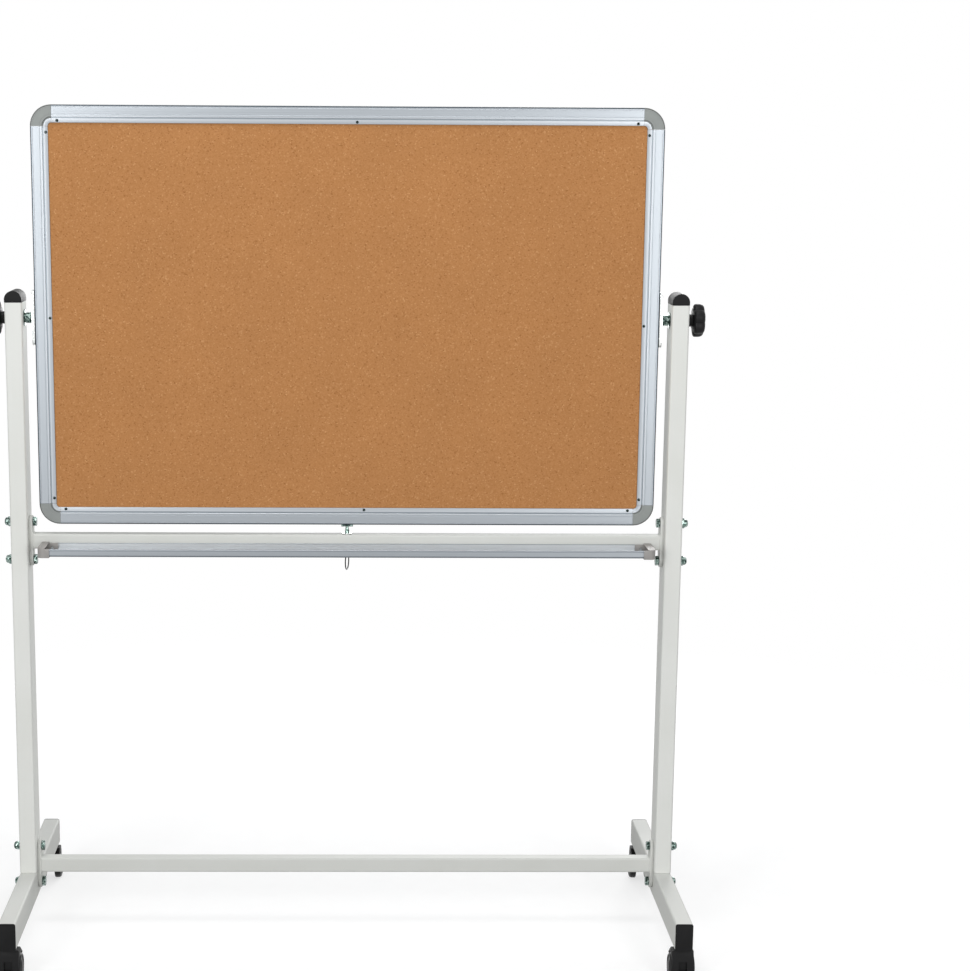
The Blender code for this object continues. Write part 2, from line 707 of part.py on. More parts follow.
# Crossbars with welded end flanges; a vent in each flange opens the tube
DIAGONAL = Matrix.Rotation(math.pi / 4, 4, "Z")


def crossbar_mesh():
    solids = []
    vents = []
    for sign in (-1, 1):
        centre = sign * (FLANGE_IN + FLANGE_T / 2)
        flange = outline([stadium(FLANGE_W, FLANGE_H)], FLANGE_T, AT_X, (centre, 0, 0))
        solids.append(bevelled(flange, FLANGE_EDGE, 1))
        weld = rod((BAR / 2 + WELD_SIZE) * math.sqrt(2), 2 * WELD_SIZE, facing((-sign, 0, 0)) @ DIAGONAL,
                   (sign * FLANGE_IN, 0, 0), 4, (BAR / 2 + GAP) * math.sqrt(2))
        bore = block((4 * WELD_SIZE, BAR - TUBE_WALL, BAR - TUBE_WALL), (sign * FLANGE_IN, 0, 0))
        solids.append(joined(weld, [bore], "DIFFERENCE"))
        vents.append(rod(VENT_R, 2 * (FLANGE_T + CUT_OVERRUN), AT_X, (centre, 0, 0), SMALL))
    bar = tube(BAR, BAR, BAR_R, 2 * FLANGE_IN + FLANGE_T, AT_X)
    return joined(joined(bar, solids), vents, "DIFFERENCE")


crossbar = crossbar_mesh()
upper_crossbar = add("upper_crossbar", crossbar, POWDER, (0, 0, UPPER_BAR_Z))
lower_crossbar = add("lower_crossbar", crossbar, POWDER, (0, 0, LOWER_BAR_Z))

# Bores in the flanges for the frame bolts
flange_bore = rod(BOLT_HOLE_R, 2 * (FLANGE_T + CUT_OVERRUN), AT_X, (FLANGE_IN, 0, 0), SMALL)
flange_places = [(flange_bore, Matrix.Translation((0, 0, z)) @ Matrix.Rotation(turn, 4, "Z"))
                 for z in post_bolts_z + [foot_bolt_z] for turn in (0.0, math.pi)]
flange_bores = cutter("flange_bores", gathered("flange_bores", flange_places))
for piece in (upper_crossbar, lower_crossbar):
    boolean(piece, flange_bores, "DIFFERENCE")


# Arched caps on the posts and square plugs in the feet
def post_cap_mesh():
    radius = POST_W / 2
    arch = arc(radius, 0, math.pi, 12, (0, POST_CAP_BASE)) + [(-radius, 0), (radius, 0)]
    body = bevelled(outline([arch], POST_D, AT_Y), CAP_EDGE)
    inset = 2 * (TUBE_WALL + SPIGOT_PLAY)
    spigot = outline([rounded_rectangle(POST_W - inset, POST_D - inset, TUBE_R - TUBE_WALL)],
                     POST_CAP_SPIGOT + CAP_EDGE * 2, centre=(0, 0, CAP_EDGE - POST_CAP_SPIGOT / 2))
    return joined(body, [spigot])


post_cap = post_cap_mesh()
add("left_post_cap", post_cap, BLACK_PLASTIC, (-POST_X, 0, POST_TOP + GAP))
add("right_post_cap", post_cap, BLACK_PLASTIC, (POST_X, 0, POST_TOP + GAP))


def foot_plug_mesh():
    body = bevelled(outline([rounded_rectangle(FOOT_W, FOOT_H, TUBE_R)], PLUG_T, AT_Y, (0, PLUG_T / 2, 0)),
                    PLUG_EDGE, 1)
    inset = 2 * (TUBE_WALL + SPIGOT_PLAY)
    length = PLUG_SPIGOT + PLUG_T / 2
    spigot = outline([rounded_rectangle(FOOT_W - inset, FOOT_H - inset, TUBE_R - TUBE_WALL)],
                     length, AT_Y, (0, PLUG_T / 2 + length / 2, 0))
    return joined(body, [spigot])


foot_plug = foot_plug_mesh()
for side, sx in (("left", -1), ("right", 1)):
    for end, sy, turn in (("front", -1, 0.0), ("rear", 1, math.pi)):
        place = (sx * POST_X, sy * FOOT_L / 2, foot_z)
        add(side + "_" + end + "_foot_plug", foot_plug, BLACK_PLASTIC, place, turn_z=turn)


# Pen tray in front of the upper crossbar; a ledge under the bar takes the screws.
# Its section runs from the bar's front face outwards and from the bar's underside upwards.
TRAY_TURN = Matrix(((0, 0, -1, 0), (-1, 0, 0, 0), (0, 1, 0, 0), (0, 0, 0, 1)))


def tray_mesh():
    lip_top = TRAY_FLOOR + TRAY_LIP_H
    bead = TRAY_BEAD / 2
    bead_at = (TRAY_FRONT + TRAY_BEAD_PROUD - bead, lip_top - bead)
    lip_in = TRAY_FRONT - TRAY_T
    back_in = GAP + TRAY_T
    section = [(-TRAY_LEDGE, TRAY_UNDER), (TRAY_FRONT - TRAY_T, TRAY_UNDER),
               (TRAY_FRONT, TRAY_UNDER + TRAY_T), (TRAY_FRONT, lip_top - TRAY_BEAD)]
    section += arc(bead, -QUARTER / 2, 5 * QUARTER / 2, 6, bead_at)
    section += [(lip_in, lip_top - TRAY_BEAD), (lip_in, TRAY_FLOOR + TRAY_T / 2),
                (lip_in - TRAY_T / 2, TRAY_FLOOR)]
    for share in sorted(TRAY_RIB_SHARES, reverse=True):
        middle = TRAY_FRONT * share
        section += [(middle + TRAY_RIB_W / 2, TRAY_FLOOR), (middle, TRAY_FLOOR + TRAY_RIB_H),
                    (middle - TRAY_RIB_W / 2, TRAY_FLOOR)]
    section += [(back_in, TRAY_FLOOR), (back_in, TRAY_FLOOR + TRAY_BACK_H), (GAP, TRAY_FLOOR + TRAY_BACK_H),
                (GAP, TRAY_FLOOR), (-TRAY_LEDGE, TRAY_FLOOR)]
    return outline([section], 2 * (TRAY_END - TRAY_CAP_BLOCK - GAP), TRAY_TURN)


tray_origin = (0, -BAR / 2, BAR_UNDER)
pen_tray = add("pen_tray", tray_mesh(), ALUMINIUM, tray_origin)


# The cap's block closes the trough; its skins wrap the tray's end in front, below and behind
def tray_cap_mesh():
    skin = TRAY_CAP_SKIN
    end = TRAY_END
    inner = end - TRAY_CAP_BLOCK
    root = inner + skin
    front = TRAY_FRONT + TRAY_BEAD_PROUD + GAP + skin
    bottom = TRAY_UNDER - GAP - skin
    top = TRAY_FLOOR + TRAY_LIP_H + GAP + skin
    middle = (top + bottom) / 2
    plan = [(inner, -front), (inner, -GAP)]
    plan += arc(TRAY_CAP_BACK_R, QUARTER, 0, 3, (end - TRAY_CAP_BACK_R, -GAP - TRAY_CAP_BACK_R))
    plan += arc(TRAY_CAP_FRONT_R, 0, -QUARTER, 5, (end - TRAY_CAP_FRONT_R, -front + TRAY_CAP_FRONT_R))
    body = bevelled(outline([plan], top - bottom, centre=(0, 0, middle)), TRAY_CAP_EDGE)
    wrap = TRAY_CAP_FRONT_WRAP + skin
    wrap_x = root - wrap / 2
    front_skin = block((wrap, skin, top - bottom - 2 * TRAY_CAP_EDGE), (wrap_x, -front + skin / 2, middle))
    floor_skin = block((wrap, front - skin, skin), (wrap_x, -(front + skin) / 2, bottom + skin / 2))
    wedge = [(root, 0), (inner - skin, 0), (inner - TRAY_CAP_BACK_WRAP, TRAY_BACK_H - skin),
             (inner - TRAY_CAP_BACK_WRAP, TRAY_BACK_H), (root, TRAY_BACK_H)]
    behind = GAP + TRAY_T + GAP
    back_skin = outline([wedge], skin, AT_Y, (0, -behind - skin / 2, 0))
    return joined(body, [front_skin, floor_skin, back_skin])


cap_mesh = tray_cap_mesh()
add("right_tray_cap", cap_mesh, GREY_PLASTIC, tray_origin)
mirrored = cap_mesh.copy()
mirrored.transform(Matrix.Diagonal((-1, 1, 1, 1)))
mirrored.flip_normals()
add("left_tray_cap", mirrored, GREY_PLASTIC, tray_origin)

# Bores for the screws from below through the tray's ledge into the crossbar
tray_bore = rod(TRAY_HOLE_R, BAR, centre=(0, 0, BAR_UNDER), segments=SMALL)
screw_rows = [Matrix.Translation((TRAY_END * share, 0, 0)) for share in TRAY_SCREW_SHARES]
notch = rod(TRAY_NOTCH_R, 4 * TRAY_T, centre=(0, 0, BAR_UNDER - TRAY_T))
guide_bore = rod(GUIDE_HOLE_R, 2 * BAR, centre=(0, 0, UPPER_BAR_Z))
screw_bores = [(tray_bore, place) for place in screw_rows]
tray_bores = cutter("tray_bores", gathered("tray_bores", screw_bores + [(notch, UPRIGHT)]))
boolean(pen_tray, tray_bores, "DIFFERENCE")
bar_bores = cutter("bar_bores", gathered("bar_bores", screw_bores + [(guide_bore, UPRIGHT)]))
boolean(upper_crossbar, bar_bores, "DIFFERENCE")

# Spring pin: a tapered nose above the bar, a rod below it with an eye for the ring
collar_top = UPPER_BAR_Z + BAR / 2 + GAP + GUIDE_COLLAR_T
guide_bottom = BAR_UNDER - GUIDE_BELOW_BAR
shoulder_z = PIN_TOP_Z - PIN_CONE_L - PIN_BODY_L
eye_z = BAR_UNDER - PIN_EYE_DROP
pin_bottom = eye_z - PIN_BELOW_EYE
guide_floor = guide_bottom + GUIDE_FLOOR_T
collar_under = collar_top - GUIDE_COLLAR_T
guide_section = [(GUIDE_COLLAR_R, collar_top), (GUIDE_COLLAR_R, collar_under), (GUIDE_R, collar_under),
                 (GUIDE_R, guide_bottom), (GUIDE_ROD_HOLE_R, guide_bottom), (GUIDE_ROD_HOLE_R, guide_floor),
                 (GUIDE_BORE_R, guide_floor), (GUIDE_BORE_R, collar_top)]
add("latch_guide", turned(guide_section, ROUND, ring=True), ZINC)
pin_section = [(0, PIN_TOP_Z), (PIN_TIP_R - PIN_TIP_EDGE, PIN_TOP_Z), (PIN_TIP_R, PIN_TOP_Z - PIN_TIP_EDGE),
               (PIN_R, PIN_TOP_Z - PIN_CONE_L), (PIN_R, shoulder_z), (PIN_ROD_R, shoulder_z),
               (PIN_ROD_R, pin_bottom), (0, pin_bottom)]
pin_solid = turned(pin_section, ROUND, centre=(0, 0, -eye_z))
ring_axis = Vector((math.sin(RING_TURN), math.cos(RING_TURN), 0))
eye_bore = rod(PIN_EYE_R, 4 * PIN_ROD_R, facing(ring_axis))
latch_pin = add("latch_pin", joined(pin_solid, [eye_bore], "DIFFERENCE"), ZINC, (0, 0, eye_z))

spring_low = guide_floor + GAP + SPRING_WIRE_R
spring_high = shoulder_z - GAP - SPRING_WIRE_R
coil = []
for i in range(SPRING_TURNS * SPRING_STEPS + 1):
    angle = 2 * math.pi * i / SPRING_STEPS
    rise = (spring_high - spring_low) * i / (SPRING_TURNS * SPRING_STEPS)
    coil.append((SPRING_R * math.cos(angle), SPRING_R * math.sin(angle), spring_low + rise))
add("latch_spring", tube_along(coil, SPRING_WIRE_R, False, 1), STEEL)

ring_points = []
for i in range(RING_STEPS):
    angle = 2 * math.pi * i / RING_STEPS
    ring_points.append(ring_axis * (RING_R * math.sin(angle))
                       + Vector((0, 0, RING_R * (math.cos(angle) - 1))))
add("pull_ring", tube_along(ring_points, RING_WIRE_R, True, 2), STEEL, (0, 0, eye_z))


# Casters: a hooded housing on a stem, two wheels on one axle, hood towards the foot's end
def housing_mesh():
    inner = HOOD_R - HOOD_T
    centre = (CASTER_TRAIL, WHEEL_R)
    front = CASTER_TRAIL - HOOD_R
    # The outside rises from the arc's foremost point to a flat crown round the stem
    rise = [(-CROWN_HALF + (front + CROWN_HALF) * out, CROWN_TOP + (WHEEL_R - CROWN_TOP) * down)
            for out, down in CROWN_FRONT_SHARES]
    outside = [(CROWN_HALF, CROWN_TOP), (-CROWN_HALF, CROWN_TOP)] + rise
    hood = outline([arc(HOOD_R, HOOD_START, CROWN_REAR, 4, centre) + outside
                    + arc(HOOD_R, 2 * QUARTER, HOOD_END, 4, centre)
                    + arc(inner, HOOD_END, HOOD_START, 12, centre)], HOOD_W, AT_X)
    hood = bevelled(hood, HOOD_EDGE, 1)
    middle = (HOOD_R + inner) / 2
    start, end = HOOD_START + WEB_SET_BACK, HOOD_END - WEB_SET_BACK
    web = outline([arc(middle, start, end, 10, centre)
                   + arc(WEB_HUB_R, end, start + 4 * QUARTER, 5, centre)], WEB_W, AT_X)
    depth = STEM_DOWN + STEM_COLLAR_T
    stem_bore = rod(STEM_HOLE_R, 2 * depth, centre=(0, 0, CASTER_H), segments=STEM_STEPS)
    axle_bore = rod(AXLE_HOLE_R, HOOD_W, AT_X, (0, *centre), SMALL)
    window = block((WINDOW_W, 2 * WINDOW_DEPTH, WINDOW_UP + WINDOW_DOWN),
                   (0, front, WHEEL_R + (WINDOW_UP - WINDOW_DOWN) / 2))
    return joined(joined(hood, [web]), [stem_bore, axle_bore, window], "DIFFERENCE")


def wheel_mesh():
    """Right-hand wheel about its own axle; the left one is turned half round."""
    crown_out, crown_up = WHEEL_CROWN_SHARES
    return turned([(0, WHEEL_OUT + WHEEL_CROWN),
                   (WHEEL_HUB_R * crown_out, WHEEL_OUT + WHEEL_CROWN * crown_up),
                   (WHEEL_HUB_R, WHEEL_OUT - WHEEL_CROWN), (WHEEL_R - WHEEL_RIM, WHEEL_OUT - WHEEL_DISH),
                   (WHEEL_R - WHEEL_SHOULDER, WHEEL_OUT), (WHEEL_R, WHEEL_OUT - WHEEL_SHOULDER),
                   (WHEEL_R, WHEEL_IN), (AXLE_HOLE_R, WHEEL_IN), (AXLE_HOLE_R, AXLE_HALF + GAP),
                   (0, AXLE_HALF + GAP)], FINE, AT_X)


housing = housing_mesh()
wheel = wheel_mesh()
axle = rod(AXLE_R, 2 * AXLE_HALF, AT_X, segments=SMALL)
stem_top = CASTER_H + STEM_UP
stem_end = CASTER_H - STEM_DOWN
stem_collar = CASTER_H - GAP
stem_grip = CASTER_H + TUBE_WALL + GAP
stem = turned([(0, stem_top), (STEM_R - GAP, stem_top), (STEM_R, stem_top - STEM_R / 2),
               (STEM_R, stem_grip + STEM_GRIP_T), (STEM_GRIP_R, stem_grip + STEM_GRIP_T),
               (STEM_GRIP_R, stem_grip), (STEM_R, stem_grip), (STEM_R, stem_collar),
               (STEM_COLLAR_R, stem_collar), (STEM_COLLAR_R, stem_collar - STEM_COLLAR_T),
               (STEM_R, stem_collar - STEM_COLLAR_T), (STEM_R, stem_end), (0, stem_end)], STEM_STEPS)
for end, sy, turn in (("front", -1, 0.0), ("rear", 1, math.pi)):
    for side, sx in (("left", -1), ("right", 1)):
        place = (sx * POST_X, sy * CASTER_Y, 0)
        label = "caster_" + end + "_" + side
        swivel = empty(label + "_swivel", place, turn)
        add(label + "_housing", housing, BLACK_PLASTIC, parent=swivel)
        add(label + "_axle", axle, STEEL, (0, CASTER_TRAIL, WHEEL_R), swivel)
        add(label + "_wheel_a", wheel, TREAD, (0, CASTER_TRAIL, WHEEL_R), swivel, turn_z=math.pi)
        add(label + "_wheel_b", wheel, TREAD, (0, CASTER_TRAIL, WHEEL_R), swivel)
        add(label + "_stem", stem, ZINC, place)
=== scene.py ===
import math

import bmesh
import bpy
from mathutils import Matrix, Vector


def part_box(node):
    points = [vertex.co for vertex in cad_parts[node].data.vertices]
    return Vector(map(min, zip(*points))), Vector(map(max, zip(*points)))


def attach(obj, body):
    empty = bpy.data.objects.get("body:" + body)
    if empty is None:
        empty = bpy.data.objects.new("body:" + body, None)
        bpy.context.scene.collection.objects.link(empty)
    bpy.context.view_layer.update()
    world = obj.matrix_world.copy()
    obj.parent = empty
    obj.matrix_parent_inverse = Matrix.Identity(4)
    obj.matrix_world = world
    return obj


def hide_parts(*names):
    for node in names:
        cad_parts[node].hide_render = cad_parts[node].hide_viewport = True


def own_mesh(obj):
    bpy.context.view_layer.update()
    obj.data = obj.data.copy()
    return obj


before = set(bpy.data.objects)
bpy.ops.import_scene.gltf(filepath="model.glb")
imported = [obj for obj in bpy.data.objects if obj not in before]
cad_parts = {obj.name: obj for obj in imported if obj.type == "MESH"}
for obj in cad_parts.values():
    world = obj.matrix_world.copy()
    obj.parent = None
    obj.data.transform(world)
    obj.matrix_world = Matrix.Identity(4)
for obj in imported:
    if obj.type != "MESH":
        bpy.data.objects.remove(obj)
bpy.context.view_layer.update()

# Panel
# A sandwich of agglomerated cork, a fibreboard core and an enamelled steel dry-erase sheet,
# pressed together and held by the rails' lips. The three flat sheets keep their CAD solids.
MM = 0.001
MERGE = 0.002 * MM
CORK_GRAIN = 1.7 * MM
CORK_FLECK = 2.6 * MM
CORK_CLOUD = 90.0 * MM
CORK_DENT = 0.12 * MM
ENAMEL_WAVE = 9.0 * MM
ENAMEL_WAVE_DEPTH = 0.02 * MM
ENAMEL_HAZE = 160.0 * MM
BOARD_FIBRE = 0.8 * MM
BOARD_NAP = 0.1 * MM


def srgb(code):
    """Linear colour of an sRGB hex code."""
    parts = [int(code[i:i + 2], 16) / 255 for i in (0, 2, 4)]
    return tuple(c / 12.92 if c <= 0.04045 else ((c + 0.055) / 1.055) ** 2.4 for c in parts) + (1.0,)


def put(tree, kind, inputs=None, stops=(), **settings):
    """Adds a node with its settings, a ramp's stops and its inputs.

    A stop is a place and an sRGB hex code or a grey level. An input is a value, another node's
    output, or another node, which stands for its first output.
    """
    node = tree.nodes.new(kind)
    for key, value in settings.items():
        setattr(node, key, value)
    if stops:
        elements = node.color_ramp.elements
        while len(elements) < len(stops):
            elements.new(0.5)
        for element, (place, shade) in zip(elements, stops):
            element.position = place
            element.color = srgb(shade) if isinstance(shade, str) else (shade, shade, shade, 1.0)
    for key, value in (inputs or {}).items():
        if isinstance(value, bpy.types.Node):
            value = value.outputs[0]
        if isinstance(value, bpy.types.NodeSocket):
            tree.links.new(value, node.inputs[key])
        else:
            node.inputs[key].default_value = value
    return node


def surface(name, slot):
    """New material of a record's slot: its empty node tree and the piece's own coordinates."""
    mat = bpy.data.materials.new(name)
    mat.use_nodes = True
    mat.node_tree.nodes.clear()
    mat["slot"] = slot
    return mat, mat.node_tree, put(mat.node_tree, "ShaderNodeTexCoord").outputs["Object"]


def dress(mat, *names):
    """Gives CAD nodes a material of the scene."""
    for name in names:
        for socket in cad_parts[name].material_slots:
            socket.material = mat


# Cork: pressed granules, sanded flat, so each grain has its own tan, dark bark shows as flecks
# and the seams between the grains catch a little shadow. It has no gloss.
cork, tree, place = surface("sanded_agglomerated_cork", "cork")
grains = put(tree, "ShaderNodeTexVoronoi", {"Vector": place, "Scale": 1 / CORK_GRAIN})
own = put(tree, "ShaderNodeSeparateColor", {"Color": grains.outputs["Color"]})
tan = put(tree, "ShaderNodeValToRGB", {"Fac": own},
          ((0.0, "9B6638"), (0.06, "AD7746"), (0.5, "B27C4A"), (0.94, "B78150"), (1.0, "C49261")))
bark = put(tree, "ShaderNodeTexNoise", {"Vector": place, "Scale": 1 / CORK_FLECK, "Detail": 2.0})
fleck = put(tree, "ShaderNodeValToRGB", {"Fac": bark},
            ((0.0, 0.82), (0.28, 0.97), (0.4, 1.0), (1.0, 1.03)))
cloud = put(tree, "ShaderNodeTexNoise", {"Vector": place, "Scale": 1 / CORK_CLOUD, "Detail": 3.0})
patch = put(tree, "ShaderNodeValToRGB", {"Fac": cloud}, ((0.3, 0.965), (0.7, 1.02)))
flecked = put(tree, "ShaderNodeVectorMath", {0: tan, 1: fleck}, operation="MULTIPLY")
colour = put(tree, "ShaderNodeVectorMath", {0: flecked, 1: patch}, operation="MULTIPLY")
seams = put(tree, "ShaderNodeTexVoronoi", {"Vector": place, "Scale": 1 / CORK_GRAIN},
            feature="DISTANCE_TO_EDGE")
level = put(tree, "ShaderNodeValToRGB", {"Fac": seams}, ((0.0, 0.0), (0.12, 1.0)))
dents = put(tree, "ShaderNodeBump", {"Height": level, "Distance": CORK_DENT, "Strength": 0.6})
shader = put(tree, "ShaderNodeBsdfPrincipled",
             {"Base Color": colour, "Roughness": 0.88, "IOR": 1.4, "Normal": dents})
put(tree, "ShaderNodeOutputMaterial", {"Surface": shader})
dress(cork, "cork_sheet")

# Enamel on steel: glassy and near white under a clear glaze. The thin sheet's faint wave bends
# what it mirrors, and wiped-off ink leaves a haze that dulls it in patches.
enamel, tree, place = surface("enamelled_steel_sheet", "enamel_white")
haze = put(tree, "ShaderNodeTexNoise", {"Vector": place, "Scale": 1 / ENAMEL_HAZE, "Detail": 5.0})
colour = put(tree, "ShaderNodeValToRGB", {"Fac": haze}, ((0.35, "EAEBED"), (0.7, "E5E7E9")))
dull = put(tree, "ShaderNodeValToRGB", {"Fac": haze}, ((0.35, 0.14), (0.7, 0.24)))
sheet = put(tree, "ShaderNodeTexNoise", {"Vector": place, "Scale": 1 / ENAMEL_WAVE, "Detail": 1.0})
wave = put(tree, "ShaderNodeBump", {"Height": sheet, "Distance": ENAMEL_WAVE_DEPTH, "Strength": 0.5})
shader = put(tree, "ShaderNodeBsdfPrincipled", {
    "Base Color": colour, "Roughness": dull, "IOR": 1.5, "Coat Weight": 0.5, "Coat Roughness": 0.05,
    "Normal": wave})
put(tree, "ShaderNodeOutputMaterial", {"Surface": shader})
dress(enamel, "white_sheet")

# Fibreboard: dry-pressed brown wood fibre, a matt tangle of two browns that shows only where the
# panel is taken apart
fibre, tree, place = surface("pressed_fibreboard", "fibreboard")
tangle = put(tree, "ShaderNodeTexNoise", {"Vector": place, "Scale": 1 / BOARD_FIBRE, "Detail": 4.0})
colour = put(tree, "ShaderNodeValToRGB", {"Fac": tangle}, ((0.3, "6B5238"), (0.7, "8E7355")))
nap = put(tree, "ShaderNodeBump", {"Height": tangle, "Distance": BOARD_NAP, "Strength": 0.4})
shader = put(tree, "ShaderNodeBsdfPrincipled", {"Base Color": colour, "Roughness": 0.9, "Normal": nap})
put(tree, "ShaderNodeOutputMaterial", {"Surface": shader})
dress(fibre, "board_core")

# Rails
# Four lengths of hollow aluminium extrusion: an outer band, a shadow groove and a lip that
# clamps the panel. Satin anodised with fine die lines along it; the groove and the rounded outer
# edges are painted shade, and the band's inner edge is a painted highlight.
DIE_LINE = 0.35 * MM
DIE_LENGTH = 900.0 * MM
DIE_DEPTH = 0.01 * MM
FRAME_T = 19.0 * MM
RAIL_R = 1.5 * MM
RAIL_BAND = 16.9 * MM
RAIL_GROOVE = 2.2 * MM
RAIL_GROOVE_FLOOR = 7.7 * MM
RAIL_LIP_FACE = 9.0 * MM
RAIL_UNDER = 7.4 * MM
RAIL_FACE = 25.5 * MM
RAIL_LIP_R = 0.6 * MM
RAIL_WALL = 1.4 * MM
RAIL_LINE_W = 0.6 * MM
RAIL_LINE_D = 0.2 * MM
RAIL_LINES = (3.4 * MM, 13.6 * MM)
EDGE = 0.2 * MM
QUARTER = math.pi / 2


def anodised(name, along, *shades):
    """Satin anodised aluminium: soft highlights drawn out along the die lines, which run along one
    axis of the piece, and painted light and shade from the shade attribute: painted shade on the
    rounded edges and in the grooves where it is high, a painted highlight where it is lowest."""
    mat, tree, place = surface(name, "satin_aluminium")
    stretch = [1 / DIE_LINE] * 3
    stretch[along] = 1 / DIE_LENGTH
    lines = put(tree, "ShaderNodeMapping", {"Vector": place, "Scale": stretch})
    drawn = put(tree, "ShaderNodeTexNoise", {"Vector": lines, "Scale": 1.0, "Detail": 2.0})
    # Painted light and shade: the shade attribute picks a lighter or darker colour from the ramp
    painted_shade_level = put(tree, "ShaderNodeAttribute", attribute_name="shade").outputs["Fac"]
    shade = put(tree, "ShaderNodeValToRGB", {"Fac": painted_shade_level}, shades)
    streak = put(tree, "ShaderNodeValToRGB", {"Fac": drawn}, ((0.3, 0.95), (0.7, 1.0)))
    colour = put(tree, "ShaderNodeVectorMath", {0: shade, 1: streak}, operation="MULTIPLY")
    satin = put(tree, "ShaderNodeValToRGB", {"Fac": drawn}, ((0.3, 0.28), (0.7, 0.38)))
    score = put(tree, "ShaderNodeBump", {"Height": drawn, "Distance": DIE_DEPTH, "Strength": 0.2})
    shader = put(tree, "ShaderNodeBsdfPrincipled",
                 {"Base Color": colour, "Metallic": 1.0, "Roughness": satin, "Normal": score})
    put(tree, "ShaderNodeOutputMaterial", {"Surface": shader})
    return mat


def arc(radius, start, end, steps, centre=(0.0, 0.0)):
    return [(centre[0] + radius * math.cos(start + (end - start) * i / steps),
             centre[1] + radius * math.sin(start + (end - start) * i / steps)) for i in range(steps + 1)]


def axes(across, up, along, at=(0, 0, 0)):
    """Local axes and origin of a piece."""
    return Matrix.Translation(at) @ Matrix((across, up, along)).transposed().to_4x4()


def sweep(loops, places, rim=0.0, tones=None, segments=2):
    """Carries an outline and its holes through places and closes both ends; rim rounds their edges."""
    bm = bmesh.new()
    layer = bm.verts.layers.float.new("shade") if tones else None
    ends, faces = ([], []), []
    for k, loop in enumerate(loops):
        rings = [[bm.verts.new(place @ Vector((a, b, 0))) for a, b in loop] for place in places]
        for ring in rings if tones else ():
            for vert, tone in zip(ring, tones[k]):
                # The shade attribute holds painted light and shade, one minus the tone
                vert[layer] = 1 - tone
        for one, two in zip(rings, rings[1:]):
            for i in range(len(loop)):
                j = (i + 1) % len(loop)
                bm.faces.new((one[i], one[j], two[j], two[i]))
        ends[0].append(rings[0])
        ends[1].append(rings[-1])
    for rings in ends:
        if len(rings) == 1:
            faces.append(bm.faces.new(rings[0]))
        else:
            edges = [bm.edges.get((ring[i - 1], ring[i])) for ring in rings for i in range(len(ring))]
            bmesh.ops.triangle_fill(bm, use_beauty=True, edges=edges)
    if rim:
        edges = [edge for face in faces for edge in face.edges]
        bmesh.ops.bevel(bm, geom=edges, offset=rim, segments=segments, profile=0.5, affect="EDGES")
    return bm


def extrude(loops, low, high, place=Matrix.Identity(4), rim=0.0, tones=None, segments=2):
    """Gives an outline and its holes a thickness along local Z."""
    places = [place @ Matrix.Translation((0, 0, level)) for level in (low, high)]
    return sweep(loops, places, rim, tones, segments)


def hang(name, mesh, mat, body, nodes=(), sharp=30.0):
    """Makes a finished mesh a piece of a body, in place of the CAD nodes that it stands for."""
    mesh.shade_smooth()
    mesh.set_sharp_from_angle(angle=math.radians(sharp))
    mesh.materials.clear()
    mesh.materials.append(mat)
    obj = bpy.data.objects.new(name, mesh)
    bpy.context.scene.collection.objects.link(obj)
    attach(obj, body)
    if nodes:
        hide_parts(*nodes)
    return obj


def solid(name, bm, mat, body, *nodes, sharp=30.0):
    """Turns a closed mesh into a piece with its faces pointing out."""
    bmesh.ops.remove_doubles(bm, verts=bm.verts, dist=MERGE)
    bmesh.ops.recalc_face_normals(bm, faces=bm.faces)
    mesh = bpy.data.meshes.new(name)
    bm.to_mesh(mesh)
    bm.free()
    return hang(name, mesh, mat, body, nodes, sharp)


def both_faces(side):
    """Outline of one face and its mirror image on the other."""
    return side + [(inset, -through, tone) for inset, through, tone in reversed(side)]


def band_section():
    """Inset from the outer edge, distance through the board and tone, up to the groove's end."""
    half = FRAME_T / 2
    # The tones paint light and shade: a dark outer rounding, darker hollows in the two lines, a painted
    # highlight on the band's inner edge and a darker groove
    side = [(a, b, 0.0) for a, b in arc(RAIL_R, 2 * QUARTER, QUARTER, 6, (RAIL_R, half - RAIL_R))]
    side += [(RAIL_R * 1.4, half, 0.6), (RAIL_R * 1.8, half, 0.8)]
    for line in RAIL_LINES:
        side += [(line - RAIL_LINE_W / 2, half, 0.75), (line, half - RAIL_LINE_D, 0.6),
                 (line + RAIL_LINE_W / 2, half, 0.75)]
    side += [(RAIL_BAND - RAIL_LINE_W, half, 0.8), (RAIL_BAND - 2 * EDGE, half, 1.0)]
    return side + [(RAIL_BAND - EDGE, half, 1.0), (RAIL_BAND, half - EDGE, 0.8),
                   (RAIL_BAND + EDGE, RAIL_GROOVE_FLOOR, 0.5),
                   (RAIL_BAND + RAIL_GROOVE, RAIL_GROOVE_FLOOR, 0.5)]


def lip_section():
    """Lip beyond the groove, which clamps the panel's edge."""
    start = RAIL_BAND + RAIL_GROOVE
    # The lip's tones paint shade beside the groove and on its underside
    side = [(start, RAIL_LIP_FACE - EDGE, 0.6), (start + EDGE, RAIL_LIP_FACE, 0.85)]
    rounding = arc(RAIL_LIP_R, QUARTER, 0, 3, (RAIL_FACE - RAIL_LIP_R, RAIL_LIP_FACE - RAIL_LIP_R))
    side += [(a, b, 0.8) for a, b in rounding]
    return side + [(RAIL_FACE, RAIL_UNDER, 0.3)]


def split(section):
    return [(a, b) for a, b, tone in section], [tone for a, b, tone in section]
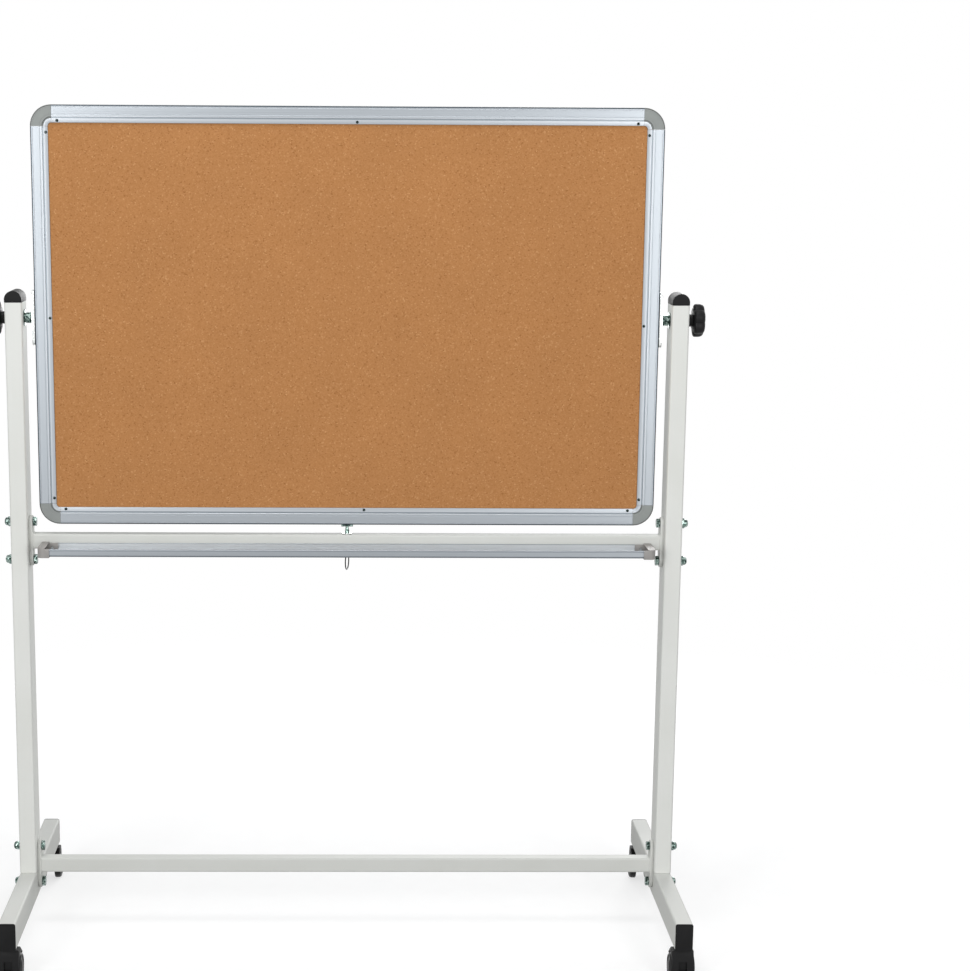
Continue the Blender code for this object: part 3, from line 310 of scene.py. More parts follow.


# Ramp of painted light and shade, from the painted highlight to the darkest painted shade
RAIL_PAINTED_LIGHT = ((0.0, "D2D6DA"), (0.2, "A0A5AA"), (0.5, "868D93"), (1.0, "40464C"))
level_aluminium = anodised("anodised_aluminium_level", 0, *RAIL_PAINTED_LIGHT)
upright_aluminium = anodised("anodised_aluminium_upright", 2, *RAIL_PAINTED_LIGHT)
board_low = Vector((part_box("left_rail")[0][0], 0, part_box("bottom_rail")[0][2]))
board_high = Vector((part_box("right_rail")[1][0], 0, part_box("top_rail")[1][2]))
pivot_z = (board_low.z + board_high.z) / 2
# The low tones under the band and in the hollow paint shade there
outline, tones = split(both_faces(band_section() + lip_section() + [(RAIL_BAND, RAIL_UNDER, 0.3)]))
hollow = [(RAIL_WALL, FRAME_T / 2 - RAIL_WALL), (RAIL_BAND - RAIL_WALL, FRAME_T / 2 - RAIL_WALL),
          (RAIL_BAND - RAIL_WALL, RAIL_WALL - FRAME_T / 2), (RAIL_WALL, RAIL_WALL - FRAME_T / 2)]
for name, inward, along, mat in (("top_rail", (0, 0, -1), 0, level_aluminium),
                                 ("bottom_rail", (0, 0, 1), 0, level_aluminium),
                                 ("left_rail", (1, 0, 0), 2, upright_aluminium),
                                 ("right_rail", (-1, 0, 0), 2, upright_aluminium)):
    corner = board_high if sum(inward) < 0 else board_low
    origin = Vector((0, 0, corner.z)) if along == 0 else Vector((corner.x, 0, 0))
    low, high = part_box(name)
    place = axes(inward, (0, 1, 0), [float(i == along) for i in range(3)], origin)
    bm = extrude([outline, hollow], low[along], high[along], place, tones=[tones, [0.3] * 4])
    solid(name + "_extrusion", bm, mat, "board", name)

# Corner covers
# Injection-moulded grey ABS with the rails' section swept round a quarter turn; a tongue on
# each end plugs into the hollow rails. The rails' bright lip runs on round the inside.
GRAIN = 0.5 * MM
GRAIN_DEPTH = 0.03 * MM
MELT_FLOW = 25.0 * MM
CORNER_SWEEP = 20
CORNER = 30.5 * MM


def moulded(name, slot, low, high, dull, gloss, shine=0.5):
    """Moulded plastic: a low, broken sheen from the mould's spark-eroded grain, slightly uneven in
    colour along the melt's flow, with painted shade on its rounded edges and in its grooves, where
    the shade attribute is high."""
    mat, tree, place = surface(name, slot)
    flow = put(tree, "ShaderNodeTexNoise", {"Vector": place, "Scale": 1 / MELT_FLOW, "Detail": 2.0})
    melt = put(tree, "ShaderNodeValToRGB", {"Fac": flow}, ((0.3, low), (0.7, high)))
    painted_shade_level = put(tree, "ShaderNodeAttribute", attribute_name="shade").outputs["Fac"]
    # Painted shade: the colour darkens where the shade attribute is high
    painted_shade_tint = put(tree, "ShaderNodeValToRGB", {"Fac": painted_shade_level}, ((0.2, 1.0), (1.0, 0.35)))
    colour = put(tree, "ShaderNodeVectorMath", {0: melt, 1: painted_shade_tint}, operation="MULTIPLY")
    sheen = put(tree, "ShaderNodeValToRGB", {"Fac": flow}, ((0.3, gloss), (0.7, dull)))
    speck = put(tree, "ShaderNodeTexNoise", {"Vector": place, "Scale": 1 / GRAIN, "Detail": 3.0})
    pits = put(tree, "ShaderNodeBump", {"Height": speck, "Distance": GRAIN_DEPTH, "Strength": 0.5})
    shader = put(tree, "ShaderNodeBsdfPrincipled", {"Base Color": colour, "Roughness": sheen, "IOR": 1.5,
                                                    "Specular IOR Level": shine, "Normal": pits})
    put(tree, "ShaderNodeOutputMaterial", {"Surface": shader})
    return mat


grey_abs = moulded("grained_grey_abs", "grey_plastic", "838785", "8D918E", 0.52, 0.42)
# Painted shade on the cover: its rounded outer edge and its groove keep the rails' dark tones, the rest is
# set light
cover_side = [(a, b, 0.9 if tone > 0.55 else tone) for a, b, tone in band_section()]
cover, cover_tones = split(both_faces(cover_side))
lips = [lip_section(), [(a, -b, tone) for a, b, tone in reversed(lip_section())]]
lips[0].append((RAIL_BAND + RAIL_GROOVE, RAIL_UNDER, 0.3))
lips[1].insert(0, (RAIL_BAND + RAIL_GROOVE, -RAIL_UNDER, 0.3))
for side, sx in (("left", -1), ("right", 1)):
    for level, sz in (("top", 1), ("bottom", -1)):
        outer = Vector((board_high.x if sx > 0 else board_low.x, 0,
                        board_high.z if sz > 0 else board_low.z))
        centre = outer - Vector((sx, 0, sz)) * CORNER
        places = []
        for i in range(CORNER_SWEEP + 1):
            turn = QUARTER * i / CORNER_SWEEP
            away = Vector((sx * math.cos(turn), 0, sz * math.sin(turn)))
            places.append(axes(-away, (0, 1, 0), (0, 0, 0), centre + away * CORNER))
        bm = sweep([cover], places, tones=[cover_tones])
        solid("corner_cover_%s_%s" % (level, side), bm, grey_abs, "board", "corner_%s_%s" % (level, side))
        bm = bmesh.new()
        for lip in lips:
            loop, tones = split(lip)
            part = sweep([loop], places, tones=[tones])
            mesh = bpy.data.meshes.new("lip")
            part.to_mesh(mesh)
            part.free()
            bm.from_mesh(mesh)
        solid("corner_lip_%s_%s" % (level, side), bm, upright_aluminium, "board")

# Fasteners
# Zinc-plated steel with a blue-green passivation. Geometry Nodes set one head on every place;
# the seed turns each recess a different way, as a driver leaves them.
PLATING = 3.0 * MM
PLATING_DEPTH = 0.02 * MM
HEAD_STEPS = 24
HEAD_SHARP = 32.0


def lathe(profile, steps=HEAD_STEPS, place=Matrix.Identity(4), ring=False):
    """Turns a profile of radius and height about local Z; a ring's profile closes on itself."""
    bm = bmesh.new()
    loops = [[bm.verts.new(place @ Vector((radius * math.cos(math.tau * i / steps),
                                           radius * math.sin(math.tau * i / steps), height)))
              for i in range(steps if radius > 0 else 1)] for radius, height in profile]
    for one, two in list(zip(loops, loops[1:])) + ([(loops[-1], loops[0])] if ring else []):
        for i in range(steps):
            j = (i + 1) % steps
            corners = [one[i % len(one)], one[j % len(one)], two[j % len(two)], two[i % len(two)]]
            face = [vert for k, vert in enumerate(corners) if vert not in corners[:k]]
            if len(face) > 2:
                bm.faces.new(face)
    return bm


def boolean(bm, cut, operation="DIFFERENCE"):
    """Closed mesh cut by another, joined to it or kept to what they share."""
    pair = []
    for source in (bm, cut):
        bmesh.ops.remove_doubles(source, verts=source.verts, dist=MERGE)
        bmesh.ops.recalc_face_normals(source, faces=source.faces)
        mesh = bpy.data.meshes.new("operand")
        source.to_mesh(mesh)
        source.free()
        pair.append(bpy.data.objects.new("operand", mesh))
        bpy.context.scene.collection.objects.link(pair[-1])
    mod = pair[0].modifiers.new("cut", "BOOLEAN")
    mod.operation = operation
    mod.solver = "EXACT"
    mod.object = pair[1]
    mesh = bpy.data.meshes.new_from_object(pair[0].evaluated_get(bpy.context.evaluated_depsgraph_get()))
    result = bmesh.new()
    result.from_mesh(mesh)
    for obj in pair:
        bpy.data.objects.remove(obj, do_unlink=True)
    return result


def polygon(radius, sides):
    return [(radius * math.cos(math.tau * i / sides), radius * math.sin(math.tau * i / sides))
            for i in range(sides)]


def plated(name, dark, mid, light):
    """Zinc plate: a thin bright metal film whose passivation varies in tint and gloss from place to
    place; the tint's strong dark and light blotches are painted reflections, so small heads look
    speckled dark and light."""
    mat, tree, place = surface(name, "zinc_plate")
    film = put(tree, "ShaderNodeTexNoise", {"Vector": place, "Scale": 1 / PLATING, "Detail": 2.0})
    painted_reflection_tint = put(tree, "ShaderNodeValToRGB", {"Fac": film}, ((0.36, dark), (0.5, mid), (0.62, light)))
    gloss = put(tree, "ShaderNodeValToRGB", {"Fac": film}, ((0.3, 0.14), (0.7, 0.26)))
    build_up = put(tree, "ShaderNodeBump", {"Height": film, "Distance": PLATING_DEPTH, "Strength": 0.3})
    shader = put(tree, "ShaderNodeBsdfPrincipled",
                 {"Base Color": painted_reflection_tint, "Metallic": 1.0, "Roughness": gloss, "Normal": build_up})
    put(tree, "ShaderNodeOutputMaterial", {"Surface": shader})
    return mat


def group(name, *inputs):
    """New Geometry Nodes tree with named inputs, and their outputs inside it."""
    tree = bpy.data.node_groups.new(name, "GeometryNodeTree")
    for label, kind in (("Geometry", "Geometry"),) + inputs:
        tree.interface.new_socket(label, in_out="INPUT", socket_type="NodeSocket" + kind)
    tree.interface.new_socket("Geometry", in_out="OUTPUT", socket_type="NodeSocketGeometry")
    return tree, put(tree, "NodeGroupInput").outputs


def close(tree, instances, material):
    """Ends a tree in plain geometry with its material."""
    real = put(tree, "GeometryNodeRealizeInstances", {"Geometry": instances}).outputs[0]
    done = put(tree, "GeometryNodeSetMaterial", {"Geometry": real, "Material": material}).outputs[0]
    put(tree, "NodeGroupOutput", {"Geometry": done})
    return tree


def fastener_tree():
    """One head on each point, turned to the point's direction and spun about it."""
    tree, given = group("set_fasteners", ("Head", "Object"), ("Head radius", "Float"),
                        ("Head height", "Float"), ("Seed", "Int"), ("Plating", "Material"))
    head = put(tree, "GeometryNodeObjectInfo", {"Object": given["Head"]})
    facing = put(tree, "GeometryNodeInputNamedAttribute", {"Name": "facing"}, data_type="FLOAT_VECTOR")
    aimed = put(tree, "FunctionNodeAlignRotationToVector", {"Vector": facing.outputs[0]}, axis="Z")
    spin = put(tree, "FunctionNodeRandomValue", {"Min": 0.0, "Max": math.tau, "Seed": given["Seed"]},
               data_type="FLOAT")
    about = put(tree, "FunctionNodeAxisAngleToRotation", {"Axis": (0, 0, 1), "Angle": spin.outputs[1]})
    turned = put(tree, "FunctionNodeRotateRotation",
                 {"Rotation": aimed.outputs[0], "Rotate By": about.outputs[0]}, rotation_space="LOCAL")
    size = put(tree, "ShaderNodeCombineXYZ", {"X": given["Head radius"], "Y": given["Head radius"],
                                              "Z": given["Head height"]})
    heads = put(tree, "GeometryNodeInstanceOnPoints", {
        "Points": given["Geometry"], "Instance": head.outputs["Geometry"],
        "Rotation": turned.outputs[0], "Scale": size.outputs[0]})
    return close(tree, heads.outputs[0], given["Plating"])


def grown(mesh, tree, **values):
    """Plain mesh that a Geometry Nodes tree makes of points or a path."""
    obj = bpy.data.objects.new("source", mesh)
    bpy.context.scene.collection.objects.link(obj)
    mod = obj.modifiers.new("made", "NODES")
    mod.node_group = tree
    for socket in tree.interface.items_tree:
        key = socket.name.replace(" ", "_").lower()
        if socket.in_out == "INPUT" and key in values:
            mod[socket.identifier] = values[key]
    bpy.context.view_layer.update()
    made = bpy.data.meshes.new_from_object(obj.evaluated_get(bpy.context.evaluated_depsgraph_get()))
    obj.modifiers.clear()
    bpy.data.objects.remove(obj, do_unlink=True)
    return made


def fasteners(name, head, places, radius, height, body, seed, mat=None):
    """A head of a given size on each place, which is a point and a direction."""
    points = bpy.data.meshes.new("places")
    points.from_pydata([place for place, facing in places], [], [])
    facing = points.attributes.new("facing", "FLOAT_VECTOR", "POINT")
    for item, (place, direction) in zip(facing.data, places):
        item.vector = direction
    mat = mat or zinc
    mesh = grown(points, heads_tree, head=head, head_radius=radius, head_height=height, seed=seed,
                 plating=mat)
    return hang(name, mesh, mat, body, sharp=HEAD_SHARP)


def template(name, bm):
    """Head of a unit radius and height that the tree copies to every place."""
    bmesh.ops.recalc_face_normals(bm, faces=bm.faces)
    mesh = bpy.data.meshes.new(name)
    bm.to_mesh(mesh)
    bm.free()
    mesh.shade_smooth()
    mesh.set_sharp_from_angle(angle=math.radians(HEAD_SHARP))
    obj = bpy.data.objects.new(name, mesh)
    bpy.context.scene.collection.objects.link(obj)
    return obj


def cross_recess(depth, reach=0.66, width=0.24):
    """Tapered cruciform cutter of a driver's recess."""
    blades = []
    for turn in (0.0, QUARTER):
        spin = Matrix.Rotation(turn, 4, "Z")
        blade = [(-reach, -width / 2), (reach, -width / 2), (reach, width / 2), (-reach, width / 2)]
        shrink = Matrix.Diagonal((0.35, 0.8, 1, 1))
        blades.append(sweep([blade], [spin @ Matrix.Translation((0, 0, 1.0 - depth)) @ shrink,
                                      spin @ Matrix.Translation((0, 0, 1.3))]))
    return boolean(*blades, "UNION")


# The dark and light ends of these zinc ramps are partly painted reflection
zinc = plated("blue_passivated_zinc", "26332F", "5C706A", "A9BAB4")
bright_zinc = plated("clear_passivated_zinc", "D6DADA", "E3E6E5", "EEF0EF")
dark_zinc = plated("dark_passivated_zinc", "1F2524", "343C3B", "515A58")
black_wire = plated("black_phosphated_wire", "0C0D0D", "151717", "202424")
heads_tree = fastener_tree()
pan_profile = [(0, 0), (1.0, 0), (1.0, 0.35), (0.93, 0.62), (0.74, 0.85), (0.45, 0.97), (0, 1.0)]
pan_head = template("pan_head", boolean(lathe(pan_profile), cross_recess(0.85)))
flush_profile = [(0, -0.6), (0.45, -0.6), (0.96, 0.9), (1.0, 1.0), (0, 1.0)]
flush_head = template("flush_head", boolean(lathe(flush_profile), cross_recess(0.9)))
hex_prism = extrude([polygon(2 / math.sqrt(3), 6)], 0.0, 1.0)
hex_chamfer = [(0, -0.01), (1.02, -0.01), (1.2, 0.12), (1.2, 0.84), (0.97, 1.001), (0, 1.001)]
hex_head = template("hex_head", boolean(hex_prism, lathe(hex_chamfer, 48), "INTERSECT"))
dome_profile = [(0, 0), (1.0, 0), (1.0, 0.2), (0.97, 0.42), (0.86, 0.66), (0.66, 0.85), (0.36, 0.96),
                (0, 1.0)]
dome_cap = template("dome_cap", lathe(dome_profile, 32))

# Lip screws: twelve small pan heads on each face, 39 mm from the corners and one at mid length
LIP_INSET = 22.5 * MM
LIP_FROM_END = 39.0 * MM
TOP_SCREW_X = 13.0 * MM
BOTTOM_SCREW_X = 25.0 * MM
RIGHT_SCREW_DROP = 8.0 * MM
LIP_HEAD_R = 2.2 * MM
LIP_HEAD_T = 1.0 * MM
places = []
for face in (-1, 1):
    ends = [(x, z) for x in (board_low.x + LIP_FROM_END, board_high.x - LIP_FROM_END)
            for z in (board_low.z + LIP_INSET, board_high.z - LIP_INSET)]
    ends += [(x, z) for x in (board_low.x + LIP_INSET, board_high.x - LIP_INSET)
             for z in (board_low.z + LIP_FROM_END, board_high.z - LIP_FROM_END)]
    ends += [(TOP_SCREW_X, board_high.z - LIP_INSET), (BOTTOM_SCREW_X, board_low.z + LIP_INSET),
             (board_low.x + LIP_INSET, pivot_z), (board_high.x - LIP_INSET, pivot_z - RIGHT_SCREW_DROP)]
    places += [((x, face * RAIL_LIP_FACE, z), (0, face, 0)) for x, z in ends]
fasteners("lip_screws", pan_head, places, LIP_HEAD_R, LIP_HEAD_T, "board", 3, dark_zinc)

# Pivots
# On each side rail sits a round-ended steel plate with a welded M10 stud. A flanged nut and a
# broad washer space the board from the post, and a lobed knob outside clamps the stud.
GAP = 0.3 * MM
PLATE_W = 18.0 * MM
PLATE_H = 81.3 * MM
PLATE_T = 4.2 * MM
PLATE_RIM = 0.7 * MM
PLATE_SCREW = 28.0 * MM
PLATE_HEAD_R = 4.1 * MM
PLATE_HEAD_T = 2.0 * MM
NUT_FLANGE_R = 9.5 * MM
NUT_FLANGE_T = 2.0 * MM
NUT_AF = 15.0 * MM
NUT_L = 9.6 * MM
NUT_CHAMFER = 0.9 * MM
STUD_R = 5.0 * MM
STUD_ROOT_R = 4.4 * MM
BORE_R = 5.3 * MM
THREAD = 1.5 * MM
WASHER_R = 11.8 * MM
WASHER_T = 1.5 * MM


def stadium(width, height, steps=12):
    radius, straight = width / 2, (height - width) / 2
    top = arc(radius, 0, 2 * QUARTER, steps, (0, straight))
    return top + arc(radius, -2 * QUARTER, 0, steps, (0, -straight))


def outwards(sign, start):
    """Local Z runs outwards along X from a start on the pivot axis; local Y stays upright."""
    return axes((0, sign, 0), (0, 0, 1), (sign, 0, 0), (start, 0, pivot_z))


for side, sign in (("left", -1), ("right", 1)):
    low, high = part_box(side + "_pivot_plate")
    place = outwards(sign, sign * (board_high.x + GAP))
    reach = max(abs(low[0]), abs(high[0])) - board_high.x - GAP
    bm = extrude([stadium(PLATE_W, PLATE_H)], 0, PLATE_T, place, PLATE_RIM)
    turns = int((reach - PLATE_T) / THREAD) - 1
    thread = [(0, PLATE_T - THREAD), (STUD_R, PLATE_T - THREAD)]
    for i in range(turns):
        thread += [(STUD_R, PLATE_T + (i + 0.2) * THREAD), (STUD_ROOT_R, PLATE_T + (i + 0.5) * THREAD),
                   (STUD_R, PLATE_T + (i + 0.8) * THREAD)]
    thread += [(STUD_ROOT_R, reach), (0, reach)]
    bm = boolean(bm, lathe(thread, 24, place), "UNION")
    solid(side + "_plate_and_stud", bm, bright_zinc, "board", side + "_pivot_plate")
    plate_out = sign * (board_high.x + GAP + PLATE_T)
    places = [((plate_out - sign * PLATE_HEAD_T, 0, pivot_z + z), (sign, 0, 0))
              for z in (-PLATE_SCREW, PLATE_SCREW)]
    head_height = PLATE_HEAD_T + EDGE / 4
    fasteners(side + "_plate_screws", flush_head, places, PLATE_HEAD_R, head_height, "board", 5)
    place = outwards(sign, plate_out + sign * GAP)
    nut = extrude([polygon(NUT_AF / math.sqrt(3), 6)], NUT_FLANGE_T / 2, NUT_L, place)
    crown = [(0, 0), (NUT_AF, 0), (NUT_AF, NUT_L - 3 * NUT_CHAMFER),
             (NUT_AF / 2 - NUT_CHAMFER / 2, NUT_L), (0, NUT_L)]
    nut = boolean(nut, lathe(crown, 48, place), "INTERSECT")
    flange = [(0, 0), (NUT_FLANGE_R - 2 * EDGE, 0), (NUT_FLANGE_R, 2 * EDGE),
              (NUT_FLANGE_R, NUT_FLANGE_T / 2), (NUT_AF / 2, NUT_FLANGE_T + EDGE),
              (0, NUT_FLANGE_T + EDGE)]
    nut = boolean(nut, lathe(flange, 48, place), "UNION")
    bore = [(0, -NUT_CHAMFER), (BORE_R, -NUT_CHAMFER), (BORE_R, NUT_L + NUT_CHAMFER),
            (0, NUT_L + NUT_CHAMFER)]
    nut = boolean(nut, lathe(bore, 32, place))
    solid(side + "_flanged_nut", nut, zinc, "board", side + "_pivot_nut")
    place = outwards(sign, plate_out + sign * (NUT_L + 2 * GAP))
    section = [(BORE_R, 0), (WASHER_R - EDGE, 0), (WASHER_R, EDGE), (WASHER_R, WASHER_T - EDGE),
               (WASHER_R - EDGE, WASHER_T), (BORE_R, WASHER_T)]
    washer = lathe(section, 48, place, ring=True)
    solid(side + "_broad_washer", washer, zinc, "board", side + "_pivot_washer")

# Knobs
# Six-lobed clamping knobs, glass-filled nylon moulded round a threaded insert. The lobes are
# rounded over at both faces and the outer face carries a shallow dished cap.
KNOB_R = 24.3 * MM
KNOB_VALLEY = 3.4 * MM
KNOB_T = 16.5 * MM
KNOB_HUB_R = 9.0 * MM
KNOB_HUB_L = 8.0 * MM
KNOB_SKIN = 5.0 * MM
KNOB_EASE = 0.5 * MM
KNOB_FILLET = ((0, 1.8 * MM), (0.6 * MM, 0.5 * MM), (2.2 * MM, 0))
KNOB_DISH_R = 12.5 * MM
KNOB_DISH_EDGE = ((0, 0), (0.6 * MM, 0.5 * MM), (1.6 * MM, 0.7 * MM))
KNOB_DISH_DEPTH = 0.5 * MM
KNOB_DISH_MIDDLE = 0.4 * MM
KNOB_LOBE_SHAPE = 0.9
KNOB_LOBES = 6
KNOB_STEPS = 96
KNOB_TURN = QUARTER + math.radians(6)
KNOB_RIM_SHARES = ((0.0, 0.22), (0.04, 0.10), (0.10, 0.03), (0.2, 0.0), (0.5, 0.0), (0.66, 0.012),
                   (0.80, 0.045), (0.90, 0.10), (0.96, 0.18), (1.0, 0.30))

black_nylon = moulded("grained_black_nylon", "black_plastic", "0A0A0B", "101011", 0.52, 0.40, 0.2)


def knob(place):
    """Turned from the blind bore out round the hub and rim and in over the dished face; the rim's
    points are then drawn in between the lobes."""
    face = KNOB_HUB_L + KNOB_T
    profile = [(0, face - KNOB_SKIN), (BORE_R, face - KNOB_SKIN), (BORE_R, 0),
               (KNOB_HUB_R - KNOB_EASE, 0), (KNOB_HUB_R, KNOB_EASE)]
    profile += [(KNOB_HUB_R + out, KNOB_HUB_L - down) for out, down in KNOB_FILLET]
    profile += [(KNOB_R * (1 - inset), KNOB_HUB_L + KNOB_T * up) for up, inset in KNOB_RIM_SHARES]
    profile += [(KNOB_DISH_R - inwards, face - down) for inwards, down in KNOB_DISH_EDGE]
    profile += [(KNOB_DISH_R / 2, face - KNOB_DISH_DEPTH), (0, face - KNOB_DISH_MIDDLE)]
    bm = lathe(profile, KNOB_STEPS)
    rim_start = KNOB_R * (1 - KNOB_RIM_SHARES[-1][1]) - EDGE
    for vert in bm.verts:
        radius = math.hypot(vert.co.x, vert.co.y)
        turn = math.atan2(vert.co.y, vert.co.x)
        if radius > rim_start and vert.co.z > KNOB_HUB_L - EDGE:
            dip = KNOB_VALLEY * (1 - abs(math.cos(KNOB_LOBES * turn / 2)) ** KNOB_LOBE_SHAPE)
            vert.co.xy *= (radius - dip) / radius
    bm.transform(place @ Matrix.Rotation(KNOB_TURN, 4, "Z"))
    return bm


for side, sign in (("left", -1), ("right", 1)):
    low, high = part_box(side + "_knob")
    start = low[0] if sign > 0 else high[0]
    solid(side + "_lobed_knob", knob(outwards(sign, start)), black_nylon, side + "_knob", side + "_knob",
          sharp=38.0)

# Stand
# Rectangular steel tube, cut to length, welded and powder coated off-white. The coat has the
# soft orange peel of a sprayed and baked powder.
TUBE_R = 3.0 * MM
TUBE_WALL = 1.5 * MM
PEEL = 1.8 * MM
PEEL_DEPTH = 0.03 * MM
COAT_CLOUD = 110.0 * MM
HOLD = 0.25 * MM
BAR = 22.2 * MM
BAR_R = 2.5 * MM
FLANGE_W = 25.4 * MM
FLANGE_H = 76.2 * MM
FLANGE_T = 4.8 * MM
FLANGE_RIM = 1.0 * MM


def powder_coated(name, low, high):
    """Powder coat, sprayed dry and baked: an even off-white with a wide soft sheen that the fine
    orange peel breaks up."""
    mat, tree, place = surface(name, "powder_coat")
    cloud = put(tree, "ShaderNodeTexNoise", {"Vector": place, "Scale": 1 / COAT_CLOUD, "Detail": 3.0})
    colour = put(tree, "ShaderNodeValToRGB", {"Fac": cloud}, ((0.3, low), (0.7, high)))
    sheen = put(tree, "ShaderNodeValToRGB", {"Fac": cloud}, ((0.3, 0.55), (0.7, 0.65)))
    skin = put(tree, "ShaderNodeTexNoise", {"Vector": place, "Scale": 1 / PEEL, "Detail": 1.5})
    peel = put(tree, "ShaderNodeBump", {"Height": skin, "Distance": PEEL_DEPTH, "Strength": 0.35})
    shader = put(tree, "ShaderNodeBsdfPrincipled", {
        "Base Color": colour, "Roughness": sheen, "IOR": 1.5, "Specular IOR Level": 0.25, "Normal": peel})
    put(tree, "ShaderNodeOutputMaterial", {"Surface": shader})
    return mat


def rounded(width, height, radius, steps=6):
    """Rounded rectangle; a point near each end of a flat keeps the flat's shading level."""
    loop = []
    for quarter, (sx, sy) in enumerate(((1, 1), (-1, 1), (-1, -1), (1, -1))):
        start, end = quarter * QUARTER, (quarter + 1) * QUARTER
        bend = arc(radius, start, end, steps, (sx * (width / 2 - radius), sy * (height / 2 - radius)))
        before = (bend[0][0] + math.sin(start) * HOLD, bend[0][1] - math.cos(start) * HOLD)
        after = (bend[-1][0] - math.sin(end) * HOLD, bend[-1][1] + math.cos(end) * HOLD)
        loop += [before] + bend + [after]
    return loop


def walls(width, height, radius, wall=TUBE_WALL):
    """Outline and bore of a rectangular tube."""
    return [rounded(width, height, radius), rounded(width - 2 * wall, height - 2 * wall, radius - wall)]


def middle(node):
    low, high = (Vector(corner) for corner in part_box(node))
    return low, high, (low + high) / 2


# The bars and feet get a darker copy of the posts' coat: painted shade, which leaves them a
# shade greyer than the posts
powder = powder_coated("off_white_powder_coat", "DDDED9", "E2E3DF")
shaded_powder = powder_coated("off_white_powder_coat_greyer", "CFD0CB", "D4D5D1")
LEFT_TO_RIGHT = ((0, 1, 0), (0, 0, 1), (1, 0, 0))
FRONT_TO_BACK = ((-1, 0, 0), (0, 0, 1), (0, 1, 0))
for side in ("left", "right"):
    low, high, centre = middle(side + "_post")
    place = Matrix.Translation((centre.x, centre.y, 0))
    bm = extrude(walls(high.x - low.x, high.y - low.y, TUBE_R), low.z, high.z, place)
    solid(side + "_steel_post", bm, powder, "stand", side + "_post")
    low, high, centre = middle(side + "_foot")
    place = axes(*FRONT_TO_BACK, centre)
    bm = extrude(walls(high.x - low.x, high.z - low.z, TUBE_R), low.y - centre.y, high.y - centre.y, place)
    solid(side + "_steel_foot", bm, shaded_powder, "stand", side + "_foot")

# Crossbars
# Square tube with a round-ended flange MIG-welded on each end, coated with the rest of the
# stand. Geometry Nodes lay the overlapping scales of the weld bead along the joint.
BEAD_R = 1.25 * MM
BEAD_PITCH = 1.5 * MM


def bead_tree():
    """Scales at an even pitch along a closed path."""
    tree, given = group("weld_bead", ("Pitch", "Float"), ("Radius", "Float"), ("Seed", "Int"),
                        ("Coat", "Material"))
    path = put(tree, "GeometryNodeMeshToCurve", {"Mesh": given["Geometry"]})
    spaced = put(tree, "GeometryNodeResampleCurve", {"Curve": path.outputs[0], "Length": given["Pitch"]},
                 mode="LENGTH")
    scale = put(tree, "GeometryNodeMeshIcoSphere", {"Radius": given["Radius"], "Subdivisions": 2})
    vary = put(tree, "FunctionNodeRandomValue", {"Min": 0.88, "Max": 1.12, "Seed": given["Seed"]},
               data_type="FLOAT")
    laid = put(tree, "GeometryNodeInstanceOnPoints",
               {"Points": spaced.outputs[0], "Instance": scale.outputs["Mesh"], "Scale": vary.outputs[1]})
    return close(tree, laid.outputs[0], given["Coat"])


welding = bead_tree()
for level in ("upper", "lower"):
    low, high, centre = middle(level + "_crossbar")
    flange_in = high.x - FLANGE_T
    place = axes(*LEFT_TO_RIGHT, centre)
    bm = extrude(walls(BAR, BAR, BAR_R), -flange_in, flange_in, place)
    path = bmesh.new()
    for sign in (-1, 1):
        ends = sorted((sign * flange_in, sign * high.x))
        flange = extrude([stadium(FLANGE_W, FLANGE_H, 14)], *ends, place, FLANGE_RIM)
        bm = boolean(bm, flange, "UNION")
        around = rounded(BAR, BAR, BAR_R)
        loop = [path.verts.new(place @ Vector((a, b, sign * flange_in))) for a, b in around]
        for i in range(len(loop)):
            path.edges.new((loop[i - 1], loop[i]))
    solid(level + "_steel_crossbar", bm, shaded_powder, "stand", level + "_crossbar")
    mesh = bpy.data.meshes.new("bead_path")
    path.to_mesh(mesh)
    path.free()
    bead = grown(mesh, welding, pitch=BEAD_PITCH, radius=BEAD_R, seed=7, coat=shaded_powder)
    hang(level + "_crossbar_welds", bead, shaded_powder, "stand", sharp=60.0)

# Frame bolts: M8 hex heads on the inner faces of the flanges, domed nuts outside the tubes
BOLT_R = 6.5 * MM
BOLT_T = 5.3 * MM
BOLT_PITCH = 57.2 * MM
NUT_HEX_T = 6.2 * MM
NUT_DOME_R = 6.2 * MM
NUT_TALL = 11.5 * MM
post_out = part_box("right_post")[1][0]
inside, outside, domes = [], [], []
for level in ("upper", "lower"):
    low, high, centre = middle(level + "_crossbar")
    for sign in (-1, 1):
        for step in (-BOLT_PITCH / 2, BOLT_PITCH / 2):
            inside.append(((sign * (high.x - FLANGE_T - GAP), 0, centre.z + step), (-sign, 0, 0)))
            outside.append(((sign * (post_out + GAP), 0, centre.z + step), (sign, 0, 0)))
            domes.append(((sign * (post_out + GAP + NUT_HEX_T - EDGE), 0, centre.z + step), (sign, 0, 0)))
fasteners("frame_bolts", hex_head, inside, BOLT_R, BOLT_T, "stand", 11)
fasteners("domed_nut_bases", hex_head, outside, BOLT_R, NUT_HEX_T, "stand", 13)
fasteners("domed_nut_caps", dome_cap, domes, NUT_DOME_R, NUT_TALL - NUT_HEX_T + EDGE, "stand", 17)

# Post caps and foot plugs
# Black polypropylene ends pushed into the tubes: an arched cap on each post, a square plug
# with a slightly raised panel in each end of the feet.
CAP_RIM = 0.9 * MM
CAP_BASE = 4.0 * MM
PLUG_PANEL = 2.1 * MM
PLUG_STEP = 0.5 * MM
PLUG_T = 2.4 * MM
PLUG_SPIGOT = 6.9 * MM
SPIGOT_INSET = 2 * (TUBE_WALL + GAP)

